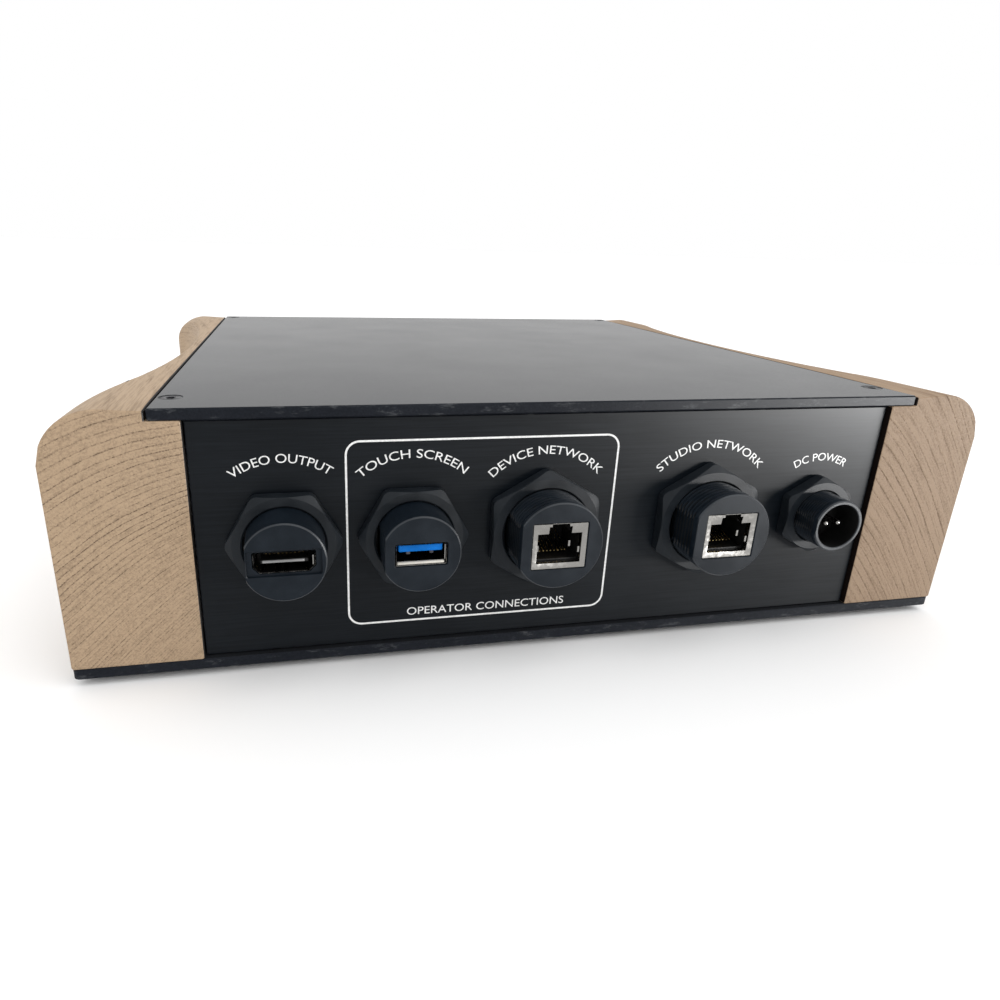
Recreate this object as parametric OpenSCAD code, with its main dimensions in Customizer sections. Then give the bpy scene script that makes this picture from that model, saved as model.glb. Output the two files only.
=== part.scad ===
// Desktop control console: a low box with a metal lid, base and end panels
// between two scooped wooden cheeks. Five sealed ports sit in the rear panel.
// Millimetres. +Z is up, the port panel faces -Y, and the origin is the middle
// of the overall box on the surface that the feet stand on.

/* [Case] */
// Width of the metal lid, side to side
lid_w = 211; // [204:1:230]
// Depth of the lid and of the cheeks, back to front
case_d = 223; // [215:1:240]
// Height of the wooden cheeks
cheek_h = 67.5; // [64:0.5:75]
// Thickness of the lid, the base and the end panels
sheet_t = 3; // [2.5:0.5:3]
// Height of the rubber feet
foot_h = 2; // [1.5:0.5:3]
// How far the end panels sit inside the ends of the cheeks
panel_inset = 1.5; // [1:0.5:3]
// Gap left around a panel, and between the lid and the wood
joint_gap = 0.4; // [0.3:0.1:0.6]

/* [Cheeks] */
// How far a cheek stands out beyond the lid at its two ends
horn_reach = 25; // [22:1:30]
// How far it stands out at the waist of the hand scoop
waist_reach = 4; // [3:0.5:6]
// Width of the shelf that carries the edge of the lid
shelf_w = 7.5; // [7:0.5:9]
// Half length of the ellipse that forms the scoop
scoop_half_len = 115.5; // [112:0.5:118]
// Half width of that ellipse
scoop_half_w = 31.5; // [29:0.5:34]
// Radius of the rounded upper outer edge
top_round_r = 14; // [8:0.5:16]

/* [Ports] */
// How far the four data ports stand out behind the case
port_reach = 12.7; // [11:0.1:16]
// How far the power inlet stands out behind the case
inlet_reach = 10.7; // [9:0.1:12.7]
// Radius of the video and touch port bodies
small_body_r = 10.2; // [10:0.1:10.6]
// Radius of the network port bodies
large_body_r = 12; // [11.8:0.1:12.2]
// Radius of the power inlet
inlet_r = 7.7; // [7.5:0.1:8]
// Width across the flats of the video and touch port nuts
small_nut_af = 26; // [25:0.5:27]
// Width across the flats of the network port nuts
large_nut_af = 30; // [29:0.5:31]
// Width across the flats of the power inlet nut
inlet_nut_af = 21; // [20:0.5:22]
// Thickness of the port nuts
port_nut_t = 4; // [3:0.5:5]

/* [Board] */
// Width of the main board
board_w = 150; // [140:1:160]
// Depth of the main board
board_d = 100; // [90:1:110]
// Height of the standoffs under the board
standoff_h = 8; // [6:0.5:10]

/* [Power button] */
// Radius of the button's threaded barrel
button_barrel_r = 7.9; // [7.5:0.1:8.5]
// Radius of the cap that is pressed
button_cap_r = 5; // [4.5:0.1:5.2]
// Travel of the cap
button_travel = 1.5; // [1:0.1:2]

/* [Hidden] */
$fn = 64;

// Colours
wood = [0.74, 0.64, 0.52];
black_metal = [0.10, 0.11, 0.12];
lid_grey = [0.22, 0.22, 0.23];
black_plastic = [0.13, 0.14, 0.15];
steel = [0.75, 0.75, 0.74];
brass = [0.80, 0.62, 0.30];
rubber = [0.06, 0.06, 0.06];
signal_blue = [0.05, 0.42, 0.80];
board_green = [0.05, 0.28, 0.16];
gold = [0.85, 0.68, 0.32];

// Planes of the case
rear_y = (port_reach - case_d) / 2;
front_y = rear_y + case_d;
mid_y = rear_y + case_d / 2;
base_z = foot_h;
base_top = foot_h + sheet_t;
case_top = base_top + cheek_h;
lid_z = case_top - sheet_t;
port_z = (base_top + lid_z) / 2;

// Cheeks, on the +X side
cheek_in_x = lid_w / 2 - shelf_w;
cheek_out_x = lid_w / 2 + horn_reach;
waist_x = lid_w / 2 + waist_reach;
scoop_x = waist_x + scoop_half_w;
scoop_steps = 48;
base_corner_r = 3;

// End panels
panel_half_w = cheek_in_x - joint_gap;
panel_z = base_top + joint_gap;
panel_h = lid_z - base_top - 2 * joint_gap;
rear_in_y = rear_y + panel_inset + sheet_t;
front_in_y = front_y - panel_inset - sheet_t;

// M3 hardware
m3_r = 1.45;
m3_hole_r = 1.7;
m3_head_r = 2.9;
m3_len = 10;
m3_play = 0.1;
insert_r = 2.3;
insert_bore_r = 1.5;
insert_len = 8;
insert_play = 0.05;
socket_r = 1.15;
socket_depth = 1.2;

// Places of the lid screws: in from the side, the rear and the front edges
lid_screw_x = lid_w / 2 - 3.7;
lid_screw_rear = 13;
lid_screw_front = 5;
lid_screw_ys = [rear_y + lid_screw_rear, front_y - lid_screw_front];
// Places of the base screws, down the middle of the waist
base_screw_x = (cheek_in_x + waist_x) / 2;
base_screw_ys = [rear_y + 30, mid_y, front_y - 30];
foot_r = 6;
foot_x = lid_w / 2 + 5;
foot_inset = 14;
foot_taper = 0.4;

// Corner brackets, with their studs, nuts and screws
bracket_leg = 12;
bracket_t = 2;
bracket_h = 50;
bracket_z = port_z - bracket_h / 2;
bracket_waist = 6.5;
bracket_notch_h = 29;
stud_x = cheek_in_x - 7.5;
stud_zs = [port_z - 18.5, port_z + 18.5];
stud_len = 7;
stud_r = 1.45;
stud_nut_r = 3.1;
stud_nut_t = 2.4;
wood_screw_y = 8;
wood_screw_r = 1.2;
wood_screw_len = 8;
wood_head_r = 2.6;
wood_head_t = 1.6;
wood_head_cone = 0.6;
pilot_spare = 0.5;

// Ports: place across the panel, from the middle
video_x = -75.8;
touch_x = -42.5;
network_a_x = -6.2;
network_b_x = 43;
inlet_x = 79;
face_y = rear_y - port_reach;
inlet_face_y = rear_y - inlet_reach;
nut_y = rear_y + panel_inset - port_nut_t;
seal_t = 1;
flange_t = 3;
flange_lip = 3;
tail_len = 8;
tail_y = rear_in_y + seal_t + flange_t + tail_len;
small_flat = 9.1;
large_flat = 10.3;
inlet_flat = 7.2;
// Behind its visible thread a body narrows to the pitch diameter, where the nut runs
thread_relief = 0.25;
thread_runout = 0.8;
thread_end_y = nut_y - thread_runout;
nut_chamfer_deg = 30;
hole_play = 0.2;
seal_play = 0.1;
seal_in = 0.5;
nut_play = 0.1;

// Video socket
video_socket_z = port_z - 0.7;
video_pocket = [17.8, 6.8, 13];
video_shell = [15, 5.6, 11.5];
video_shell_t = 0.4;
video_shell_cut = 1.6;
video_recess = 0.8;
video_tongue = [11.4, 1, 9.5];
video_tongue_rise = 0.3;
shell_play = 0.05;
// Touch socket
touch_pocket = [13.4, 6.2, 17];
touch_shell = [13.1, 5.9, 16];
touch_shell_t = 0.35;
touch_set_back = 0.3;
touch_tongue = [11.2, 1.9, 14.2];
touch_tongue_rise = 1.2;
// Network sockets
jack_pocket = [15.2, 13, 19];
jack_shell = [15, 12.8, 18.2];
jack_shell_t = 0.4;
jack_set_back = 0.2;
jack_mouth = [12, 6.9, 14];
latch_step = [6.2, 2, 10];
latch_notch = [4.7, 0.9, 10];
contact_pitch = 1.02;
contact_count = 8;
contact_w = 0.4;
contact_t = 0.5;
contact_in = 5;
contact_rise = 2.6;
// Overlap between cuts that share a face
cut_lap = 0.05;
// Power inlet
inlet_bore_r = 6.2;
inlet_bore_depth = 9;
inlet_pin_r = 0.8;
inlet_pin_gap = 4;
inlet_pin_back = 2.3;
inlet_pin_end = 13;
inlet_pin_play = 0.03;

// Main board and what stands on it
board_t = 1.6;
board_rear_y = rear_y + 60;
board_z = base_top + standoff_h;
board_top = board_z + board_t;
board_hole_in = 6;
board_screw_len = 6;
board_head_t = 2;
board_head_cone = 0.7;
board_socket_depth = 1.2;
standoff_af = 5.5;
clinch_r = 2;
clinch_play = 0.05;
header = [16, 11, 8];
header_z = board_top + header[2] / 2;
video_header_x = -56;
touch_header_x = -36;
network_a_header_x = -8;
network_b_header_x = 16;
power_header_x = 56;
button_header_x = -54;
processor_size = [18, 18, 1.6];
processor_at = [-25, 48];
sink_size = [42, 42, 13];
sink_base_t = 3;
sink_fins = 8;
sink_fin_t = 1.4;
module_size = [36, 44, 12];
module_at = [52, 40];

// Leads
lead_sides = 8;
lead_rings = 18;
lead_pull = 20;
data_lead_r = 2.6;
power_lead_r = 2.2;
button_lead_r = 1.6;

// Power button, in the front panel
button_x = -75;
button_z = port_z;
button_lip = 2.1;
button_seal_t = 0.4;
button_depth = 20;
button_spare = 1.3;
button_fit = 0.06;
button_rest = 0.2;
button_cap_len = 5;
button_bore = button_rest + button_cap_len + button_travel + button_spare;
button_seal_in = 0.3;
ring_in_r = 6;
ring_out_r = 7.2;
ring_t = 0.6;
ring_play = 0.05;
button_nut_af = 20;
button_nut_t = 2.5;
button_front_y = front_y;
button_lip_y = front_y - panel_inset + button_seal_t;
button_back_y = button_front_y - button_depth;

// ---- Helpers ----

// A flat outline in X and Z, carried along Y from y0 over len
module along_y(y0, len) {
    translate([0, y0 + len, 0]) rotate([90, 0, 0]) linear_extrude(len) children();
}

// Children at each side of the case, the second one mirrored
module both_sides() {
    children();
    mirror([1, 0, 0]) children();
}

// A block centred on x and z, from y0 over its depth
module block_y(x, z, y0, w, h, d) {
    translate([x - w / 2, y0, z - h / 2]) cube([w, d, h]);
}

module disc_y(x, z, y0, r, len) {
    translate([x, y0 + len, z]) rotate([90, 0, 0]) cylinder(h = len, r = r);
}

// Plan of the elliptical cut on the +X side, open beyond the cheek
module scoop_plan() {
    polygon([for (i = [0 : scoop_steps])
        let (a = 90 + i * 180 / scoop_steps)
        [scoop_x + scoop_half_w * cos(a), mid_y + scoop_half_len * sin(a)]]);
}

module cheek_plan() {
    difference() {
        translate([cheek_in_x, rear_y]) square([cheek_out_x - cheek_in_x, case_d]);
        scoop_plan();
    }
}

// Section of a cheek in X and Z, with the rounded upper outer edge
module cheek_section() {
    w = cheek_out_x - cheek_in_x;
    translate([cheek_in_x, base_top]) square([w, cheek_h - top_round_r]);
    translate([cheek_in_x, base_top]) square([w - top_round_r, cheek_h]);
    translate([cheek_out_x - top_round_r, case_top - top_round_r]) circle(r = top_round_r);
}

// A countersunk M3 screw, head up at z = 0, shank downwards
module countersunk_screw(len) {
    difference() {
        union() {
            translate([0, 0, -(m3_head_r - m3_r)])
                cylinder(h = m3_head_r - m3_r, r1 = m3_r, r2 = m3_head_r);
            translate([0, 0, -len]) cylinder(h = len, r = m3_r);
        }
        translate([0, 0, -socket_depth]) cylinder(h = socket_depth + 1, r = socket_r, $fn = 6);
    }
}

// The hole for that screw through a sheet
module countersunk_hole() {
    head_r = m3_head_r + m3_play;
    translate([0, 0, -sheet_t - 1]) cylinder(h = sheet_t + 2, r = m3_hole_r);
    translate([0, 0, -(head_r - m3_hole_r)]) cylinder(h = head_r - m3_hole_r, r1 = m3_hole_r, r2 = head_r);
}

module threaded_insert() {
    difference() {
        cylinder(h = insert_len, r = insert_r);
        translate([0, 0, -1]) cylinder(h = insert_len + 2, r = insert_bore_r);
    }
}

// ---- Case ----

module cheek() {
    difference() {
        intersection() {
            translate([0, 0, base_top]) linear_extrude(cheek_h) cheek_plan();
            along_y(rear_y, case_d) cheek_section();
        }
        // rebate for the lid
        translate([cheek_in_x - 1, rear_y - 1, lid_z])
            cube([shelf_w + joint_gap + 1, case_d + 2, sheet_t + 1]);
        // holes for the inserts under the lid
        for (y = lid_screw_ys)
            translate([lid_screw_x, y, lid_z - m3_len]) cylinder(h = m3_len + 1, r = insert_r + insert_play);
        // holes for the inserts over the base
        for (y = base_screw_ys)
            translate([base_screw_x, y, base_top - 1]) cylinder(h = m3_len + 1, r = insert_r + insert_play);
        // pilot holes for the bracket screws
        for (y = [rear_in_y + wood_screw_y, front_in_y - wood_screw_y], z = stud_zs)
            translate([cheek_in_x - 1, y, z]) rotate([0, 90, 0])
                cylinder(h = wood_screw_len + 1, r = wood_screw_r + insert_play);
    }
}

module right_cheek() {
    color(wood) cheek();
}

module left_cheek() {
    color(wood) mirror([1, 0, 0]) cheek();
}

module lid() {
    color(lid_grey) difference() {
        translate([-lid_w / 2, rear_y, lid_z]) cube([lid_w, case_d, sheet_t]);
        both_sides() for (y = lid_screw_ys) translate([lid_screw_x, y, case_top]) countersunk_hole();
    }
}

module base_plan() {
    r = base_corner_r;
    intersection() {
        union() {
            translate([-cheek_in_x, rear_y]) square([2 * cheek_in_x, case_d]);
            both_sides() cheek_plan();
        }
        union() {
            translate([-cheek_out_x + r, rear_y]) square([2 * (cheek_out_x - r), case_d]);
            translate([-cheek_out_x, rear_y + r]) square([2 * cheek_out_x, case_d - 2 * r]);
            both_sides() for (y = [rear_y + r, front_y - r]) translate([cheek_out_x - r, y]) circle(r = r);
        }
    }
}

module base_plate() {
    color(black_metal) difference() {
        translate([0, 0, base_z]) linear_extrude(sheet_t) base_plan();
        both_sides() for (y = base_screw_ys)
            translate([base_screw_x, y, base_z]) mirror([0, 0, 1]) countersunk_hole();
        at_board_corners() translate([0, 0, base_z - 1])
            cylinder(h = sheet_t + 2, r = clinch_r + clinch_play);
    }
}

// Section of a port body: round, with one flat at its left
module port_section(r, flat) {
    difference() {
        circle(r = r);
        translate([-2 * r, -r]) square([2 * r - flat, 2 * r]);
    }
}

module port_hole(x, r, flat) {
    along_y(rear_y, sheet_t + panel_inset + 1)
        translate([x, port_z]) port_section(r + hole_play, flat + hole_play);
}

module rear_panel() {
    color(black_metal) difference() {
        translate([-panel_half_w, rear_y + panel_inset, panel_z]) cube([2 * panel_half_w, sheet_t, panel_h]);
        for (x = [video_x, touch_x]) port_hole(x, small_body_r, small_flat);
        for (x = [network_a_x, network_b_x]) port_hole(x, large_body_r, large_flat);
        port_hole(inlet_x, inlet_r, inlet_flat);
    }
}

module front_panel() {
    color(black_metal) difference() {
        translate([-panel_half_w, front_in_y, panel_z]) cube([2 * panel_half_w, sheet_t, panel_h]);
        disc_y(button_x, button_z, front_in_y - 1, button_barrel_r + hole_play, sheet_t + 2);
    }
}

// One angle bracket at the +X side: y0 is the panel's inner face, dir points into the case
module bracket(y0, dir) {
    difference() {
        union() {
            translate([cheek_in_x - bracket_leg, min(y0, y0 + dir * bracket_t), bracket_z])
                cube([bracket_leg, bracket_t, bracket_h]);
            translate([cheek_in_x - bracket_t, min(y0, y0 + dir * bracket_leg), bracket_z])
                cube([bracket_t, bracket_leg, bracket_h]);
        }
        // notch that clears the nearest port or button
        translate([cheek_in_x - bracket_leg - 1, y0 - bracket_t - 1, port_z - bracket_notch_h / 2])
            cube([bracket_leg - bracket_waist + 1, 2 * bracket_t + 2, bracket_notch_h]);
        for (z = stud_zs) {
            disc_y(stud_x, z, y0 - bracket_t - 1, m3_hole_r, 2 * bracket_t + 2);
            translate([cheek_in_x - bracket_t - 1, y0 + dir * wood_screw_y, z]) rotate([0, 90, 0])
                cylinder(h = bracket_t + 2, r = wood_screw_r + m3_play);
        }
    }
}

module rear_brackets() {
    color(steel) both_sides() bracket(rear_in_y, 1);
}

module front_brackets() {
    color(steel) both_sides() bracket(front_in_y, -1);
}

module panel_studs() {
    color(steel) both_sides() for (z = stud_zs) {
        disc_y(stud_x, z, rear_in_y, stud_r, stud_len);
        disc_y(stud_x, z, front_in_y - stud_len, stud_r, stud_len);
    }
}

module panel_nut(y) {
    translate([stud_x, y + stud_nut_t, 0]) rotate([90, 0, 0]) difference() {
        cylinder(h = stud_nut_t, r = stud_nut_r, $fn = 6);
        translate([0, 0, -1]) cylinder(h = stud_nut_t + 2, r = stud_r + m3_play);
    }
}

module panel_nuts() {
    color(steel) both_sides() for (z = stud_zs) translate([0, 0, z]) {
        panel_nut(rear_in_y + bracket_t);
        panel_nut(front_in_y - bracket_t - stud_nut_t);
    }
}

module bracket_screws() {
    color(steel) both_sides() for (y = [rear_in_y + wood_screw_y, front_in_y - wood_screw_y], z = stud_zs)
        translate([cheek_in_x - bracket_t, y, z]) rotate([0, 90, 0]) {
            cylinder(h = bracket_t + wood_screw_len - pilot_spare, r = wood_screw_r);
            translate([0, 0, -wood_head_t])
                cylinder(h = wood_head_t, r1 = wood_head_r - wood_head_cone, r2 = wood_head_r);
        }
}

module lid_screws() {
    color(black_metal) both_sides() for (y = lid_screw_ys)
        translate([lid_screw_x, y, case_top]) countersunk_screw(m3_len);
}

module base_screws() {
    color(black_metal) both_sides() for (y = base_screw_ys)
        translate([base_screw_x, y, base_z]) mirror([0, 0, 1]) countersunk_screw(m3_len);
}

module cheek_inserts() {
    color(brass) both_sides() {
        for (y = lid_screw_ys) translate([lid_screw_x, y, lid_z - insert_len]) threaded_insert();
        for (y = base_screw_ys) translate([base_screw_x, y, base_top]) threaded_insert();
    }
}

module rubber_feet() {
    color(rubber) both_sides() for (y = [rear_y + foot_inset, front_y - foot_inset])
        translate([foot_x, y, 0]) cylinder(h = foot_h, r1 = foot_r - foot_taper, r2 = foot_r);
}

// ---- Ports ----

// The moulded body: a barrel outside the nut, a narrower one back to its tail, and a flange inside the panel
module port_body(x, r, flat) {
    translate([x, 0, port_z]) {
        along_y(face_y, thread_end_y - face_y) port_section(r, flat);
        along_y(thread_end_y, tail_y - thread_end_y) port_section(r - thread_relief, flat);
        along_y(rear_in_y + seal_t, flange_t) circle(r = r + flange_lip);
    }
}

// A hexagon nut behind the panel: its rear face is chamfered to a circle
module port_nut(x, r, af, turn) {
    corner_r = af / 2 / cos(30);
    drop = (corner_r + 1 - af / 2) * tan(nut_chamfer_deg);
    color(black_plastic) translate([x, nut_y + port_nut_t, port_z]) rotate([90, 0, 0]) difference() {
        intersection() {
            rotate([0, 0, turn]) cylinder(h = port_nut_t, r = corner_r, $fn = 6);
            rotate_extrude() polygon([[0, 0], [corner_r + 1, 0], [corner_r + 1, port_nut_t - drop],
                [af / 2, port_nut_t], [0, port_nut_t]]);
        }
        translate([0, 0, -1]) cylinder(h = port_nut_t + 2, r = r - thread_relief + nut_play);
    }
}

module port_seal(x, r) {
    color(rubber) difference() {
        disc_y(x, port_z, rear_in_y, r + flange_lip - seal_in, seal_t);
        disc_y(x, port_z, rear_in_y - 1, r + seal_play, seal_t + 2);
    }
}

// A sheet metal sleeve, open at the rear: size is width, height and depth
module socket_shell(x, y0, size, t) {
    difference() {
        block_y(x, port_z, y0, size[0], size[1], size[2]);
        block_y(x, port_z, y0 - 1, size[0] - 2 * t, size[1] - 2 * t, size[2] - t + 1);
    }
}

module video_port_body() {
    color(black_plastic) difference() {
        port_body(video_x, small_body_r, small_flat);
        block_y(video_x, video_socket_z, face_y - 1, video_pocket[0], video_pocket[1], video_recess + 1);
        block_y(video_x, video_socket_z, face_y, video_shell[0] + 2 * shell_play, video_shell[1] + 2 * shell_play,
            video_pocket[2]);
    }
}

module video_port_nut() {
    port_nut(video_x, small_body_r, small_nut_af, 0);
}

module video_port_seal() {
    port_seal(video_x, small_body_r);
}

// Sleeve with the two lower corners taken off, as on a video plug
module video_port_shell() {
    w = video_shell[0] / 2;
    h = video_shell[1] / 2;
    t = video_shell_t;
    cut = video_shell_cut;
    color(steel) translate([video_x, 0, video_socket_z]) difference() {
        along_y(face_y + video_recess, video_shell[2])
            polygon([[-w, h], [w, h], [w, -h + cut], [w - cut, -h], [-w + cut, -h], [-w, -h + cut]]);
        along_y(face_y, video_shell[2] + video_recess - t)
            polygon([[-w + t, h - t], [w - t, h - t], [w - t, -h + cut + t / 2], [w - cut - t / 2, -h + t],
                [-w + cut + t / 2, -h + t], [-w + t, -h + cut + t / 2]]);
    }
}

module video_port_tongue() {
    y1 = face_y + video_recess + video_shell[2] - video_shell_t;
    color(black_plastic)
        block_y(video_x, video_socket_z + video_tongue_rise, y1 - video_tongue[2],
            video_tongue[0], video_tongue[1], video_tongue[2]);
}

module touch_port_body() {
    color(black_plastic) difference() {
        port_body(touch_x, small_body_r, small_flat);
        block_y(touch_x, port_z, face_y - 1, touch_pocket[0], touch_pocket[1], touch_pocket[2] + 1);
    }
}

module touch_port_nut() {
    port_nut(touch_x, small_body_r, small_nut_af, 0);
}

module touch_port_seal() {
    port_seal(touch_x, small_body_r);
}

module touch_port_shell() {
    color(steel) socket_shell(touch_x, face_y + touch_set_back, touch_shell, touch_shell_t);
}

module touch_port_tongue() {
    y1 = face_y + touch_set_back + touch_shell[2] - touch_shell_t;
    color(signal_blue) block_y(touch_x, port_z + touch_tongue_rise, y1 - touch_tongue[2],
        touch_tongue[0], touch_tongue[1], touch_tongue[2]);
}

module network_body(x) {
    color(black_plastic) difference() {
        port_body(x, large_body_r, large_flat);
        block_y(x, port_z, face_y - 1, jack_pocket[0], jack_pocket[1], jack_pocket[2] + 1);
    }
}

// The mouth of a network jack: main opening, latch step and latch notch
module jack_opening(x, y0) {
    main_z = port_z;
    step_z = main_z + jack_mouth[1] / 2 + latch_step[1] / 2;
    notch_z = step_z + latch_step[1] / 2 + latch_notch[1] / 2;
    block_y(x, main_z, y0 - 2, jack_mouth[0], jack_mouth[1], jack_mouth[2] + 2);
    block_y(x, step_z - cut_lap, y0 - 2, latch_step[0], latch_step[1] + 2 * cut_lap, latch_step[2] + 2);
    block_y(x, notch_z - cut_lap, y0 - 2, latch_notch[0], latch_notch[1] + 2 * cut_lap, latch_notch[2] + 2);
}

module network_shell(x) {
    t = jack_shell_t;
    y0 = face_y + jack_set_back;
    color(steel) difference() {
        block_y(x, port_z, y0, jack_shell[0], jack_shell[1], jack_shell[2]);
        block_y(x, port_z, y0 + t, jack_shell[0] - 2 * t, jack_shell[1] - 2 * t, jack_shell[2]);
        jack_opening(x, y0);
    }
}

module network_jack(x) {
    t = jack_shell_t;
    y0 = face_y + jack_set_back + jack_shell_t;
    color(black_plastic) difference() {
        block_y(x, port_z, y0, jack_shell[0] - 2 * t, jack_shell[1] - 2 * t, jack_shell[2] - jack_shell_t);
        jack_opening(x, y0);
    }
}

// Eight sprung contacts that slope up from the floor of the jack
module network_contacts(x) {
    floor_z = port_z - jack_mouth[1] / 2;
    top_z = floor_z + contact_rise;
    y0 = face_y + contact_in;
    y1 = face_y + jack_mouth[2];
    x0 = x - ((contact_count - 1) * contact_pitch + contact_w) / 2;
    color(gold) for (i = [0 : contact_count - 1])
        translate([x0 + i * contact_pitch, 0, 0]) rotate([90, 0, 90]) linear_extrude(contact_w)
            polygon([[y0, floor_z], [y0 + contact_t, floor_z], [y1, top_z], [y1, top_z + contact_t]]);
}

module network_port_a_body() {
    network_body(network_a_x);
}

module network_port_a_nut() {
    port_nut(network_a_x, large_body_r, large_nut_af, 30);
}

module network_port_a_seal() {
    port_seal(network_a_x, large_body_r);
}

module network_port_a_jack() {
    network_jack(network_a_x);
}

module network_port_a_shell() {
    network_shell(network_a_x);
}

module network_port_a_contacts() {
    network_contacts(network_a_x);
}

module network_port_b_body() {
    network_body(network_b_x);
}

module network_port_b_nut() {
    port_nut(network_b_x, large_body_r, large_nut_af, 30);
}

module network_port_b_seal() {
    port_seal(network_b_x, large_body_r);
}

module network_port_b_jack() {
    network_jack(network_b_x);
}

module network_port_b_shell() {
    network_shell(network_b_x);
}

module network_port_b_contacts() {
    network_contacts(network_b_x);
}

// Round outside the case, with a flat where it passes through the panel
module power_inlet_body() {
    flat_y = rear_y + panel_inset;
    color(black_plastic) difference() {
        union() {
            disc_y(inlet_x, port_z, inlet_face_y, inlet_r, thread_end_y - inlet_face_y);
            disc_y(inlet_x, port_z, thread_end_y, inlet_r - thread_relief, tail_y - thread_end_y);
            disc_y(inlet_x, port_z, rear_in_y + seal_t, inlet_r + flange_lip, flange_t);
        }
        translate([inlet_x - inlet_r - 1, flat_y, port_z - inlet_r])
            cube([inlet_r + 1 - inlet_flat, sheet_t + seal_t, 2 * inlet_r]);
        disc_y(inlet_x, port_z, inlet_face_y - 1, inlet_bore_r, inlet_bore_depth + 1);
        at_inlet_pins() disc_y(0, 0, inlet_face_y + 1, inlet_pin_r + inlet_pin_play, inlet_pin_end - 1);
    }
}

module power_inlet_nut() {
    port_nut(inlet_x, inlet_r, inlet_nut_af, 30);
}

module power_inlet_seal() {
    port_seal(inlet_x, inlet_r);
}

module at_inlet_pins() {
    for (side = [-1, 1]) translate([inlet_x + side * inlet_pin_gap / 2, 0, port_z]) children();
}

module power_inlet_pins() {
    color(steel) at_inlet_pins()
        disc_y(0, 0, inlet_face_y + inlet_pin_back, inlet_pin_r, inlet_pin_end - inlet_pin_back);
}

// ---- Board ----

module at_board_corners() {
    for (x = [-1, 1], y = [board_hole_in, board_d - board_hole_in])
        translate([x * (board_w / 2 - board_hole_in), board_rear_y + y, 0]) children();
}

module main_board() {
    color(board_green) difference() {
        translate([-board_w / 2, board_rear_y, board_z]) cube([board_w, board_d, board_t]);
        at_board_corners() translate([0, 0, board_z - 1]) cylinder(h = board_t + 2, r = m3_hole_r);
    }
}

module board_standoffs() {
    color(steel) at_board_corners() difference() {
        union() {
            translate([0, 0, base_top]) cylinder(h = standoff_h, r = standoff_af / 2 / cos(30), $fn = 6);
            translate([0, 0, base_z]) cylinder(h = sheet_t, r = clinch_r);
        }
        translate([0, 0, base_top]) cylinder(h = standoff_h + 1, r = insert_bore_r);
    }
}

module board_screws() {
    color(steel) at_board_corners() {
        translate([0, 0, board_top - board_screw_len]) cylinder(h = board_screw_len, r = m3_r);
        translate([0, 0, board_top]) difference() {
            cylinder(h = board_head_t, r1 = m3_head_r, r2 = m3_head_r - board_head_cone);
            translate([0, 0, board_head_t - board_socket_depth])
                cylinder(h = board_socket_depth + 1, r = socket_r, $fn = 6);
        }
    }
}

module on_board(at, size) {
    translate([at[0] - size[0] / 2, board_rear_y + at[1] - size[1] / 2, board_top]) cube(size);
}

module processor() {
    color(black_plastic) on_board(processor_at, processor_size);
}

module heat_sink() {
    pitch = (sink_size[0] - sink_fin_t) / (sink_fins - 1);
    corner = [processor_at[0] - sink_size[0] / 2, board_rear_y + processor_at[1] - sink_size[1] / 2,
        board_top + processor_size[2]];
    color(black_metal) translate(corner) {
        cube([sink_size[0], sink_size[1], sink_base_t]);
        for (i = [0 : sink_fins - 1])
            translate([i * pitch, 0, 0]) cube([sink_fin_t, sink_size[1], sink_size[2]]);
    }
}

module board_headers() {
    color(black_plastic) {
        for (x = [video_header_x, touch_header_x, network_a_header_x, network_b_header_x, power_header_x])
            translate([x - header[0] / 2, board_rear_y, board_top]) cube(header);
        translate([button_header_x - header[0] / 2, board_rear_y + board_d - header[1], board_top])
            cube(header);
    }
}

module power_module() {
    color(black_metal) on_board(module_at, module_size);
}

// ---- Leads ----

// A point on the cubic curve through four control points
function curve_at(p, t) = pow(1 - t, 3) * p[0] + 3 * t * pow(1 - t, 2) * p[1]
    + 3 * t * t * (1 - t) * p[2] + pow(t, 3) * p[3];
function curve_dir(p, t) = let (d = 3 * pow(1 - t, 2) * (p[1] - p[0]) + 6 * t * (1 - t) * (p[2] - p[1])
    + 3 * t * t * (p[3] - p[2])) d / norm(d);
function ring(c, d, r) = let (u = cross([1, 0, 0], d) / norm(cross([1, 0, 0], d)), v = cross(d, u))
    [for (i = [0 : lead_sides - 1]) let (a = i * 360 / lead_sides) c + r * (u * cos(a) + v * sin(a))];

// A round lead between two points, leaving both along Y
module lead(from, to, r) {
    pull = [0, (to[1] > from[1] ? 1 : -1) * lead_pull, 0];
    p = [from, from + pull, to - pull, to];
    n = lead_sides;
    points = [for (k = [0 : lead_rings]) let (t = k / lead_rings) each ring(curve_at(p, t), curve_dir(p, t), r)];
    walls = [for (k = [0 : lead_rings - 1], i = [0 : n - 1])
        [k * n + i, (k + 1) * n + i, (k + 1) * n + (i + 1) % n, k * n + (i + 1) % n]];
    first = [for (i = [0 : n - 1]) i];
    last = [for (i = [n - 1 : -1 : 0]) lead_rings * n + i];
    polyhedron(points, concat(walls, [first], [last]));
}

module port_lead(x, header_x, r) {
    lead([x, tail_y, port_z], [header_x, board_rear_y, header_z], r);
}

module video_lead() {
    color(rubber) port_lead(video_x, video_header_x, data_lead_r);
}

module touch_lead() {
    color(rubber) port_lead(touch_x, touch_header_x, data_lead_r);
}

module network_lead_a() {
    color(rubber) port_lead(network_a_x, network_a_header_x, data_lead_r);
}

module network_lead_b() {
    color(rubber) port_lead(network_b_x, network_b_header_x, data_lead_r);
}

module power_lead() {
    color(rubber) port_lead(inlet_x, power_header_x, power_lead_r);
}

// ---- Power button ----

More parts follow.
